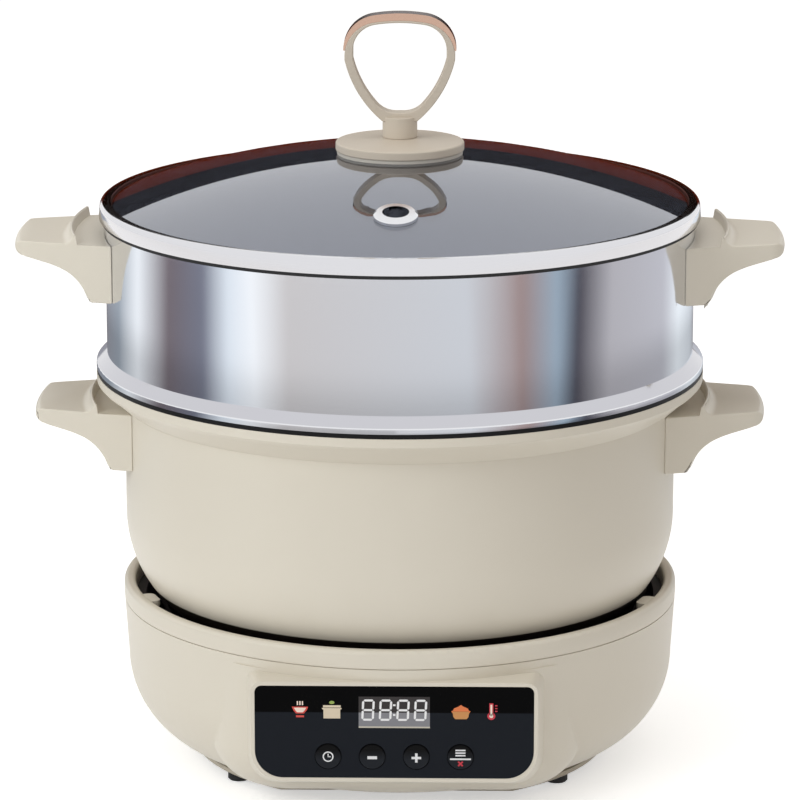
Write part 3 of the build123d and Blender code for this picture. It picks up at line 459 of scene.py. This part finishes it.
def level_group():
    """Two tones that meet at a height over the table."""
    name = "Level tones"
    if name in bpy.data.node_groups:
        return bpy.data.node_groups[name]
    inputs = {"Low": "Color", "High": "Color", "Level": "Float", "Softness": "Float"}
    group = node_group(name, "ShaderNodeTree", inputs, {"Colour": "Color"})
    nodes, link = group.nodes, group.links.new
    given, result = nodes.new("NodeGroupInput"), nodes.new("NodeGroupOutput")
    place = nodes.new("ShaderNodeTexCoord")
    split = nodes.new("ShaderNodeSeparateXYZ")
    link(place.outputs["Object"], split.inputs[0])
    over = calc(group, "SUBTRACT", split.outputs["Z"], given.outputs["Level"])
    ease = calc(group, "DIVIDE", over, given.outputs["Softness"])
    share = calc(group, "ADD", ease, 0.5, clamp=True)
    link(blend(group, share, given.outputs["Low"], given.outputs["High"]), result.inputs["Colour"])
    return group


def principled(name, **values):
    """New material with constant values on its shader's own sockets."""
    material = bpy.data.materials.new(name)
    material.use_nodes = True
    shader = material.node_tree.nodes["Principled BSDF"]
    for key, value in values.items():
        socket = shader.inputs[key.replace("_", " ").title().replace("Ior", "IOR")]
        socket.default_value = value if isinstance(value, (int, float)) else (*value, 1)
    return material, shader


def add_group(material, group, settings):
    """Node in a material that runs a shared group with its own settings."""
    node = material.node_tree.nodes.new("ShaderNodeGroup")
    node.name = group.name
    node.node_tree = group
    for label, value in settings.items():
        node.inputs[label].default_value = value
    return node


def moulded(name, tint, drift=0.04, roughness=0.42, scale=900, depth=0.00003, **values):
    """Plastic, enamel or rubber with a fine grain."""
    if name in bpy.data.materials:
        return bpy.data.materials[name]
    material, shader = principled(name, **values)
    settings = {"Colour": (*tint, 1), "Drift": drift, "Roughness": roughness, "Scale": scale, "Depth": depth}
    grain = add_group(material, grain_group(), settings)
    link = material.node_tree.links.new
    link(grain.outputs["Colour"], shader.inputs["Base Color"])
    link(grain.outputs["Roughness"], shader.inputs["Roughness"])
    link(grain.outputs["Normal"], shader.inputs["Normal"])
    return material


def levelled(material, low, high, height, softness):
    """Gives a moulded material two tones that meet at a height."""
    settings = {"Low": (*low, 1), "High": (*high, 1), "Level": height, "Softness": softness}
    tones = add_group(material, level_group(), settings)
    grain = material.node_tree.nodes[grain_group().name]
    material.node_tree.links.new(tones.outputs["Colour"], grain.inputs["Colour"])


def polished(name, tint, roughness=0.07, spread=0.05, depth=0.000002):
    """Metal with fine polishing lines."""
    if name in bpy.data.materials:
        return bpy.data.materials[name]
    material, shader = principled(name, base_color=tint, metallic=1.0)
    settings = {"Roughness": roughness, "Spread": spread, "Depth": depth}
    lines = add_group(material, polish_group(), settings)
    link = material.node_tree.links.new
    link(lines.outputs["Roughness"], shader.inputs["Roughness"])
    link(lines.outputs["Normal"], shader.inputs["Normal"])
    return material


def ink(code):
    """Plain printing ink of a hex code."""
    name = f"Ink {code[1:]}"
    if name in bpy.data.materials:
        return bpy.data.materials[name]
    material, shader = principled(name, base_color=rgb(code), roughness=0.45)
    return material


def cream_plastic():
    """Satin cream moulding."""
    return moulded("Cream plastic", bpy.context.scene.stew_colours.cream, roughness=0.36)


def steel():
    """Polished stainless steel."""
    return polished("Polished steel", bpy.context.scene.stew_colours.steel)


def black_plastic():
    """Black moulding with a fine grain."""
    return moulded("Black plastic", rgb("#141415"), roughness=0.45)


class STEWPOT_OT_base(bpy.types.Operator):
    """Heating base: housing, ring, basin, cover and feet"""

    bl_idname = "stewpot.base"
    bl_label = "Heating Base"

    def execute(self, context):
        colours = context.scene.stew_colours
        fin_foot, edge_on = 0.06, 0.4
        dress("base_housing", cream_plastic())
        dress("base_top_ring", cream_plastic())
        basin = dress("heat_basin", moulded("Basin coating", colours.basin, roughness=0.5))
        # The fins' sides are lighter than the basin coating: painted highlight
        fins = moulded("Fin edges", colours.fin_highlight, roughness=0.4)

        def across(middle, normal):
            outward = Vector((middle.x, middle.y, 0)).normalized()
            return middle.z > fin_foot and abs(normal.dot(outward)) < edge_on and abs(normal.z) < edge_on

        zone(basin, fins, across)
        dress("base_bottom_cover", moulded("Cover plastic", rgb("#BDB4A4"), roughness=0.5))
        rubber = moulded("Foot rubber", rgb("#19191A"), roughness=0.7)
        for node in ("foot_front_left", "foot_front_right", "foot_back_left", "foot_back_right"):
            dress(node, rubber)
        return {"FINISHED"}


class STEWPOT_OT_inside(bpy.types.Operator):
    """Heater, sensor, boards, inlet and screws inside the base"""

    bl_idname = "stewpot.inside"
    bl_label = "Inside of the Base"

    def execute(self, context):
        board = moulded("Board lacquer", rgb("#1F6B3C"), roughness=0.4)
        aluminium = polished("Cast aluminium", rgb("#B9B9BA"), roughness=0.3, spread=0.2)
        for node in ("heating_plate", "temperature_sensor"):
            paint(node, aluminium)
        for node in ("heating_element", "sensor_cup", "cover_screws", "pot_handle_screws",
                     "steamer_handle_screws", "knob_screw"):
            paint(node, steel())
        spring = dress("sensor_spring", steel())
        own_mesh(spring)
        for node in ("control_board", "power_board"):
            paint(node, board)
        for node in ("thermal_cutout", "push_switches", "board_parts"):
            paint(node, black_plastic())
        dress("power_inlet", black_plastic())
        paint("inlet_pins", polished("Pin brass", rgb("#D2B06A"), roughness=0.2))
        paint("plate_legs", moulded("Leg ceramic", rgb("#E6E1D6"), roughness=0.6))
        paint("display_module", moulded("Display body", rgb("#3A3B3E"), roughness=0.3))
        return {"FINISHED"}


class STEWPOT_OT_panel(bpy.types.Operator):
    """Control window, display, buttons and printed marks"""

    bl_idname = "stewpot.panel"
    bl_label = "Control Panel"

    def execute(self, context):
        colours, sizes = context.scene.stew_colours, context.scene.stew_sizes
        crisp = 0.0004
        gloss = moulded(
            "Panel gloss", colours.slate, drift=0, roughness=0.03, depth=0, specular_ior_level=0.03
        )
        # The window turns from slate to black at the reflection line: a painted reflection of dark
        # surroundings above
        levelled(gloss, colours.slate, colours.black, sizes.reflection_line, crisp)
        dress("control_window", gloss)
        front = -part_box("control_window")[0][1]
        low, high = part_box("display_module")
        middle = (low[2] + high[2]) / 2 * per_metre
        half, tall = (high[0] - low[0]) / 2 * per_metre, (high[2] - low[2]) / 2 * per_metre
        line = sizes.reflection_line * per_metre - middle
        edge_height, digit_rise = 0.75, 1.1

        def plate(name, code, bottom, top, lift):
            corners = [(-half, bottom), (half, bottom), (half, top), (-half, top)]
            belong(sheet(name, [(ink(code), [corners])], (0, middle), front + lift), "display_module")

        # The display is dark above the reflection line and grey below it: a painted reflection, as on the
        # window
        plate("display_upper", "#170D0E", line, tall, 0)
        plate("display_lower", "#7E7E84", -tall, line, 0)
        plate("display_edge", "#C6C0B2", -tall, -tall + edge_height, sizes.lift)
        self.digits(middle + digit_rise, front + sizes.lift)
        self.pictograms(front)
        self.buttons(colours)
        return {"FINISHED"}

    def digits(self, height, front):
        """Four seven-segment eights with a colon between the pairs."""
        x, z, lean, gap = 2.5, 4.8, 0.05, 0.2
        stroke, point = 1.05, 0.52
        ends = [((-x, z), (x, z)), ((-x, 0), (x, 0)), ((-x, -z), (x, -z))]
        ends += [((side, row), (side, row + z)) for side in (-x, x) for row in (-z, 0)]
        eight = []
        for start, end in ends:
            inset = (Vector(end) - Vector(start)).normalized() * gap
            outline = bar(Vector(start) + inset, Vector(end) - inset, stroke, point)
            eight.append([(px + lean * pz, pz) for px, pz in outline])
        white = ink("#ECECEE")
        pitch = 0.00835
        digit = sheet("display_digits", [(white, eight)], (0, height), front)
        row = {"Count": 4, "Start": (-1.5 * pitch, 0, 0), "Pitch": (pitch, 0, 0), "Finish": white}
        bake(digit, row_tree(), row)
        belong(digit, "display_module")
        dot_low, dot_pitch = -0.0024, 0.0049
        dot = sheet("display_colon", [(white, [bar((-0.6, 0), (0.6, 0), 0.9)])], (0, height), front)
        row = {"Count": 2, "Start": (0, 0, dot_low), "Pitch": (0, 0, dot_pitch), "Finish": white}
        bake(dot, row_tree(), row)
        belong(dot, "display_module")

    def pictograms(self, front):
        """Steaming bowl, pot, casserole and thermometer beside the display."""
        red, pale = ink("#D2443A"), ink("#F4DFD0")
        bowl = [(1.9, -2.1), (3.2, -0.5), (3.9, 1.3)]
        inner = [(1.4, -1.5), (2.3, -0.4), (2.9, 0.8)]
        steam = [bar((x, 2.1), (x, 4.1), 0.6) for x in (-1.2, 0, 1.2)]
        shapes = {"mark_bowl": ((-45, 62.9), [
            (red, [mirrored(bowl), bar((-1.9, -3.5), (1.9, -3.5), 1.0)]),
            (pale, [mirrored(inner)] + steam),
        ])}
        beige = ink("#DACBB2")
        ears = [[(side * 4.0, -0.2), (side * 4.9, 0.5), (side * 4.0, 0.9)][::side] for side in (1, -1)]
        shapes["mark_pot"] = ((-29.8, 62.9), [
            (beige, [bar((0, -4.5), (0, 0.7), 8.0), bar((0, 0.95), (0, 2.1), 8.4)] + ears),
            (ink("#93A951"), [disc((0, 3.5), 1.25, 0.65)]),
        ])
        body = [(2.7, -3.5), (3.6, -2.4), (4.0, 0.2)]
        dome = [(4.0, 0.3), (3.3, 1.9), (1.3, 2.7), (0, 3.6)]
        knobs = [[(side * 3.9, -0.6), (side * 4.6, 0.4), (side * 3.9, 0.8)][::side] for side in (1, -1)]
        shapes["mark_casserole"] = ((31.8, 61.9), [
            (ink("#C98B4E"), [mirrored(body)]),
            (ink("#DF7840"), [mirrored(dome)] + knobs),
        ])
        bulb, tube = disc((-0.6, -2.4), 1.9), bar((-0.6, -2), (-0.6, 4.0), 1.9)
        core = [bar((-0.6, -2.2), (-0.6, 3.3), 0.9), disc((-0.6, -2.4), 0.95)]
        shapes["mark_thermometer"] = ((46.9, 62.4), [
            (ink("#CB2F40"), [tube, bulb] + [bar((1.2, z), (2.3, z), 0.55) for z in (2.8, 1.4, 0)]),
            (pale, core),
        ])
        for name, (place, groups) in shapes.items():
            belong(sheet(name, groups, place, front), "control_window")

    def buttons(self, colours):
        """Glossy caps with a clock, a minus, a plus, and a list over a red cross."""
        white = ink("#E4E5E8")
        hands = [bar((0, -0.2), (0, 1.5), 0.5), bar((-0.2, 0), (1.2, 0), 0.5)]
        cross = [bar((-1.1, -4.3), (1.1, -2.1), 0.8), bar((-1.1, -2.1), (-0.3, -2.9), 0.8)]
        cross.append(bar((0.3, -3.5), (1.1, -4.3), 0.8))
        plus = [bar((-2.3, -0.4), (2.3, -0.4), 1.2), bar((0, -2.7), (0, -1.0), 1.2)]
        plus.append(bar((0, 0.2), (0, 1.9), 1.2))
        signs = {
            "timer": [(white, hoop((0, 0), 2.0, 2.6) + hands)],
            "minus": [(white, [bar((-2.3, -0.4), (2.3, -0.4), 1.5)])],
            "plus": [(white, plus)],
            "power": [(white, [bar((-5.0, -0.9), (5.0, -0.9), 0.8)]), (ink("#C4293A"), cross)],
        }
        line_pitch, reflection_rise, reflection_spread = 0.0013, 0.001, 0.005
        for name, groups in signs.items():
            node = f"button_{name}"
            low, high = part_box(node)
            place = ((low[0] + high[0]) / 2 * per_metre, (low[2] + high[2]) / 2 * per_metre)
            cap = moulded(
                "Button gloss", colours.slate, drift=0, roughness=0.08, depth=0, specular_ior_level=0.08
            )
            # The shared cap finish turns black above the timer cap's middle: a painted reflection, as on the
            # window
            if name == "timer":
                levelled(cap, colours.slate, colours.black, place[1] / per_metre + reflection_rise, reflection_spread)
            dress(node, cap)
            front = -low[1]
            belong(sheet(f"sign_{name}", groups, place, front), node)
            if name == "power":
                line = sheet("sign_list", [(white, [bar((-2.4, 0.9), (2.4, 0.9), 0.7)])], place, front)
                row = {"Count": 3, "Start": (0, 0, 0), "Pitch": (0, 0, line_pitch), "Finish": white}
                bake(line, row_tree(), row)
                belong(line, node)


class STEWPOT_OT_pot(bpy.types.Operator):
    """Enamelled pot with its handles"""

    bl_idname = "stewpot.pot"
    bl_label = "Pot"

    def execute(self, context):
        colours, sizes = context.scene.stew_colours, context.scene.stew_sizes
        enamel = moulded("Pot enamel", colours.enamel, roughness=0.34, depth=0.00001)
        shade_fade, black_edge, floor_depth, level_face = 0.0006, 0.002, 0.05, 0.7
        # The pot turns near-black below the shade line: painted shade in the gap over the base
        levelled(enamel, colours.bottom_shade, colours.enamel, sizes.shade_line, shade_fade)
        pot = dress("pot_body", enamel)
        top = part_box("pot_body")[1][2]

        def coated(middle, normal):
            inside = outward_share(middle, normal) < -slant or middle.z > top - black_edge
            return inside or (normal.z > level_face and middle.z < top - floor_depth)

        zone(pot, moulded("Non-stick", colours.nonstick, roughness=0.38, specular_ior_level=0.2), coated)
        for side in ("left", "right"):
            dress(f"pot_handle_{side}", cream_plastic(), sizes.edge)
            paint(f"pot_bracket_{side}", steel())
        return {"FINISHED"}


class STEWPOT_OT_steamer(bpy.types.Operator):
    """Steel steamer ring with its handles and plate"""

    bl_idname = "stewpot.steamer"
    bl_label = "Steamer"

    def execute(self, context):
        colours, sizes = context.scene.stew_colours, context.scene.stew_sizes
        ring = dress("steamer_ring", steel())
        lip_round, slope = 0.001, 0.3
        lip = max(vertex.co.x for vertex in ring.data.vertices) - lip_round

        def sloped(middle, normal):
            within = math.hypot(middle.x, middle.y) < lip
            return within and normal.z > slope and outward_share(middle, normal) > slant

        # The sloped flange gets a darker copy of the ring's own steel: painted shade
        zone(ring, polished("Flange steel", colours.flange_painted_shade), sloped)
        dress("steam_plate", steel())
        for side in ("left", "right"):
            dress(f"steamer_handle_{side}", cream_plastic(), sizes.edge)
            paint(f"steamer_bracket_{side}", steel())
        return {"FINISHED"}


class STEWPOT_OT_lid(bpy.types.Operator):
    """Glass lid with rim, vent and loop knob"""

    bl_idname = "stewpot.lid"
    bl_label = "Lid"

    def execute(self, context):
        colours, sizes = context.scene.stew_colours, context.scene.stew_sizes
        glass, shader = principled(
            "Lid glass", base_color=colours.glass, roughness=0.02, transmission_weight=1.0, metallic=0.5,
            ior=1.5,
        )
        dress("lid_glass", glass)
        self.rim(colours, sizes)
        dress("steam_vent", steel())
        self.knob(colours, sizes)
        return {"FINISHED"}

    def rim(self, colours, sizes):
        """Rolled rim, turned from the solid's sizes with a leaning band, and a dark ring under it as painted
        shade.
        """
        glass_low, glass_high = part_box("lid_glass")
        low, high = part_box("lid_rim")
        gauge, corner, lip_width, hem = 0.001, 0.0024, 0.0045, 0.0015
        reach, crest, foot = high[0], high[2], glass_low[2] - hem
        lip = glass_high[0] - lip_width
        near = 0.0002
        rings = [(math.hypot(v.co.x, v.co.y), v.co.z) for v in frame["nodes"]["lid_rim"].data.vertices]
        skirt = max(radius for radius, z in rings if z < low[2] + near)
        web = min(z for radius, z in rings if radius > skirt - near and z > foot + near)
        shoulder = reach - math.tan(sizes.rim_lean) * (crest - corner - foot) - corner
        turns = [math.radians(15 * i) for i in range(7)]
        section = [(reach, foot)]
        section += [(shoulder + corner * math.cos(t), crest - corner + corner * math.sin(t)) for t in turns]
        section += [
            (lip, crest), (lip, crest - gauge), (shoulder + corner - 1.5 * gauge, crest - gauge),
            (reach - gauge, glass_low[2]), (skirt - gauge, glass_low[2]), (skirt - gauge, low[2]),
            (skirt, low[2]), (skirt, web), (reach - gauge, web), (reach - gauge, foot),
        ]
        rim = turned("lid_rim_skin", section, polished("Rim steel", colours.rim), 240)
        stand_in(rim, "lid_rim")

        def inner(middle, normal):
            under = math.hypot(middle.x, middle.y) < glass_high[0] and middle.z < crest - gauge / 2
            return outward_share(middle, normal) < -slant or (under and normal.z < 0.5)

        zone(rim, moulded("Lid seal", colours.seal, roughness=0.5), inner)
        # Near-black ring just below the rim's lower edge: painted shade where the rim overhangs the steamer
        # ring
        inset, width, tuck = 0.0012, 0.0015, 0.0004
        outside, bottom, top = reach - inset, foot - sizes.shade_ring_drop, foot + tuck
        section = [(outside - width, bottom), (outside, bottom), (outside, top), (outside - width, top)]
        seal = turned("rim_seal", section, moulded("Dark seal", rgb("#101012"), roughness=0.6))
        belong(seal, "knob_gasket")

    def knob(self, colours, sizes):
        """Disc on a pale ring, loop with its trim, gasket and washer."""
        low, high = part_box("lid_glass")
        plastic = moulded("Knob plastic", colours.knob, roughness=0.4)
        dress("knob_disc", plastic)
        rise = high[2] - low[2] - sizes.glass
        dome = (high[0] ** 2 + rise ** 2) / (2 * rise)
        tuck, inset, width = 0.0003, 0.0007, 0.003
        disc_low, disc_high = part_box("knob_disc")
        top, outside = disc_low[2] + tuck, disc_high[0] - inset
        inside = outside - width
        centre = high[2] - dome
        section = [(radius, centre + math.sqrt(dome ** 2 - radius ** 2)) for radius in (inside, outside)]
        section += [(outside, top), (inside, top)]
        silicone = moulded("Silicone", rgb("#C9C4BB"), roughness=0.6)
        belong(turned("knob_foot", section, silicone), "knob_gasket")
        dress("knob_loop", plastic, sizes.loop_edge)
        trim = dress("loop_trim", polished("Rose trim", colours.trim, roughness=0.12))

        # The trim's outer band is painted dark brown: a painted reflection of dark surroundings
        def reflection_band(middle, normal):
            return abs(normal.y) < 0.5

        zone(trim, polished("Trim edge", colours.trim_dark_reflection, roughness=0.2), reflection_band)
        paint("knob_gasket", silicone)
        paint("knob_washer", silicone)


class STEWPOT_OT_stage(bpy.types.Operator):
    """White studio with floor, mirrored wall, lamps and camera"""

    bl_idname = "stewpot.stage"
    bl_label = "Studio"

    def execute(self, context):
        scene = context.scene
        studio = scene.stew_studio
        scene.view_settings.view_transform = "Standard"
        world = bpy.data.worlds.new("White studio")
        scene.world = world
        world.use_nodes = True
        back = world.node_tree.nodes["Background"]
        self.seen(world.node_tree, (*studio.fill_tint, 1), (1, 1, 1, 1), back.inputs["Color"])
        self.seen(world.node_tree, studio.fill, 1.0, back.inputs["Strength"])
        self.floor(studio)
        self.walls(studio)

        def lamp(name, place, aim, power, width, tint=(1, 1, 1)):
            light = bpy.data.lights.new(name, "AREA")
            light.shape = "SQUARE"
            light.size = width
            light.energy = power
            light.color = tint
            lamp_object = bpy.data.objects.new(name, light)
            scene.collection.objects.link(lamp_object)
            lamp_object.location = place
            lamp_object.rotation_euler = (Vector(aim) - Vector(place)).to_track_quat("-Z", "Y").to_euler()
            lamp_object.visible_glossy = False

        lamp("key", (-1.6, -1.5, 1.4), (0, 0, 0.18), studio.key, 1.2, studio.key_tint)
        lamp("top", (0.1, -0.2, 2.2), (0, 0, 0.2), studio.top, 1.6)

        camera = bpy.data.cameras.new("camera")
        camera.sensor_width = 36
        camera.lens = 200.7
        camera_object = bpy.data.objects.new("camera", camera)
        scene.collection.objects.link(camera_object)
        camera_object.location = (0.0417, -2.1696, 0.7174)
        camera_object.rotation_euler = (math.radians(76.1), 0, math.radians(1.1))
        scene.camera = camera_object
        return {"FINISHED"}

    def seen(self, tree, otherwise, value, socket):
        """Sets a socket to a value for camera, mirrored and refracted rays, and to another for the rest."""
        path = tree.nodes.new("ShaderNodeLightPath").outputs
        total = path["Is Camera Ray"]
        for name in ("Is Glossy Ray", "Is Transmission Ray"):
            total = calc(tree, "ADD", total, path[name], clamp=True)
        kind = "RGBA" if isinstance(value, tuple) else "FLOAT"
        tree.links.new(blend(tree, total, otherwise, value, kind), socket)

    def floor(self, studio):
        """White floor that keeps the pot's shadow."""
        mesh = bpy.data.meshes.new("floor")
        reach = 6.0
        corners = [(-reach, -reach, 0), (reach, -reach, 0), (reach, reach, 0), (-reach, reach, 0)]
        mesh.from_pydata(corners, [], [(0, 1, 2, 3)])
        material, shader = principled(
            "White floor", base_color=(0.9, 0.9, 0.9), roughness=0.9, specular_ior_level=0.0,
            emission_color=(1, 1, 1),
        )
        self.seen(material.node_tree, 0.0, studio.floor, shader.inputs["Emission Strength"])
        mesh.materials.append(material)
        add_object("floor", mesh)

    def walls(self, studio):
        """Round wall of screens and flags, and two dark ones behind, seen only in the polished pieces."""
        # Degrees from the front, to the right, with each screen's tone and use
        screens = (
            (-165, "#8A858C", "grey end"), (-128, "#98A1AB", "grey end"), (-109, "#EDF1F5", "white strip"),
            (-89, "#736A70", "dark flag"), (-71, "#757887", "dark flag"), (-60, "#DEE6EE", "softbox"),
            (-50, "#F4F7FA", "softbox"), (-37, "#C9C6C6", "front screen"), (24, "#CACDD2", "front screen"),
            (43, "#9C8886", "warm flag"), (56, "#98A9B8", "cool strip"), (65, "#484650", "dark flag"),
            (80, "#B2B0B5", "side screen"), (112, "#BCBCC3", "side screen"),
            (127, "#EAF0F5", "white strip"), (146, "#D0D6DD", "white strip"), (165, "#8A858C", "grey end"),
        )
        material = bpy.data.materials.new("Screens")
        material.use_nodes = True
        tree = material.node_tree
        nodes, link = tree.nodes, tree.links.new
        nodes.remove(nodes["Principled BSDF"])
        place = nodes.new("ShaderNodeTexCoord")
        split = nodes.new("ShaderNodeSeparateXYZ")
        link(place.outputs["Object"], split.inputs[0])
        ahead = calc(tree, "MULTIPLY", split.outputs["Y"], -1)
        turn = calc(tree, "ARCTAN2", split.outputs["X"], ahead)
        ramp = nodes.new("ShaderNodeValToRGB")
        stops = ramp.color_ramp.elements
        for angle, code, label in screens:
            stops.new((angle + 180) / 360).color = (*rgb(code), 1)
        stops[0].color = stops[1].color
        stops[-1].color = stops[-2].color
        link(calc(tree, "MULTIPLY_ADD", turn, 1 / math.tau, 0.5), ramp.inputs["Fac"])
        dim_below, full_above, dim = 0.1, 0.122, 0.68
        fade = nodes.new("ShaderNodeMapRange")
        link(split.outputs["Z"], fade.inputs["Value"])
        fade.inputs["From Min"].default_value = dim_below
        fade.inputs["From Max"].default_value = full_above
        fade.inputs["To Min"].default_value = dim * studio.wall
        fade.inputs["To Max"].default_value = studio.wall
        glow = nodes.new("ShaderNodeEmission")
        link(fade.outputs["Result"], glow.inputs["Strength"])
        link(ramp.outputs["Color"], glow.inputs["Color"])
        link(glow.outputs[0], nodes["Material Output"].inputs["Surface"])
        wall, wall_foot, wall_head = 0.58, -0.02, 0.2
        self.screen("screens", wall, (-180, 180), (wall_foot, wall_head), material)
        nearer, parting, dark_head = 0.57, 0.365, 0.465
        behinds = (
            ("brown_screen", "#8A2C08", (wall_head, parting)),
            ("dark_screen", "#1A0F0C", (parting, dark_head)),
        )
        for name, code, heights in behinds:
            behind, shader = principled(
                name, base_color=(0, 0, 0), emission_color=rgb(code), emission_strength=studio.back,
                specular_ior_level=0.0,
            )
            self.screen(name, nearer, (150, 210), heights, behind)

    def screen(self, name, radius, angles, heights, material):
        """Part of an upright round wall, between two angles from the front, that only mirrors show."""
        count = 96
        start, end = (math.radians(angle) for angle in angles)
        turns = [start + (end - start) * i / count for i in range(count + 1)]
        points = [(radius * math.sin(t), -radius * math.cos(t), z) for z in heights for t in turns]
        mesh = bpy.data.meshes.new(name)
        mesh.from_pydata(points, [], [(i, i + 1, count + 2 + i, count + 1 + i) for i in range(count)])
        mesh.materials.append(material)
        wall = add_object(name, mesh)
        wall.visible_camera = False
        wall.visible_diffuse = False
        wall.visible_transmission = False
        wall.visible_shadow = False


class STEWPOT_PT_panel(bpy.types.Panel):
    """Lists the stew pot's pieces in the sidebar"""

    bl_label = "Stew Pot"
    bl_idname = "STEWPOT_PT_panel"
    bl_space_type = "VIEW_3D"
    bl_region_type = "UI"
    bl_category = "Stew Pot"

    def draw(self, context):
        column = self.layout.column()
        for step in steps:
            column.operator(step.bl_idname)
        for group in (context.scene.stew_colours, context.scene.stew_sizes, context.scene.stew_studio):
            for name in group.__annotations__:
                column.prop(group, name)


steps = (
    STEWPOT_OT_stage,
    STEWPOT_OT_base,
    STEWPOT_OT_inside,
    STEWPOT_OT_panel,
    STEWPOT_OT_pot,
    STEWPOT_OT_steamer,
    STEWPOT_OT_lid,
)
groups = {"stew_colours": StewPotColours, "stew_sizes": StewPotSizes, "stew_studio": StewPotStudio}


def register():
    """Registers the groups, operators and panel."""
    for name, group in groups.items():
        bpy.utils.register_class(group)
        setattr(bpy.types.Scene, name, bpy.props.PointerProperty(type=group))
    for kind in steps + (STEWPOT_PT_panel,):
        bpy.utils.register_class(kind)


def unregister():
    """Takes the panel, operators and groups out again."""
    for kind in reversed(steps + (STEWPOT_PT_panel,)):
        bpy.utils.unregister_class(kind)
    for name, group in groups.items():
        delattr(bpy.types.Scene, name)
        bpy.utils.unregister_class(group)


def main():
    """Runs every step."""
    register()
    for step in steps:
        family, name = step.bl_idname.split(".")
        getattr(getattr(bpy.ops, family), name)()


if __name__ == "__main__":
    main()
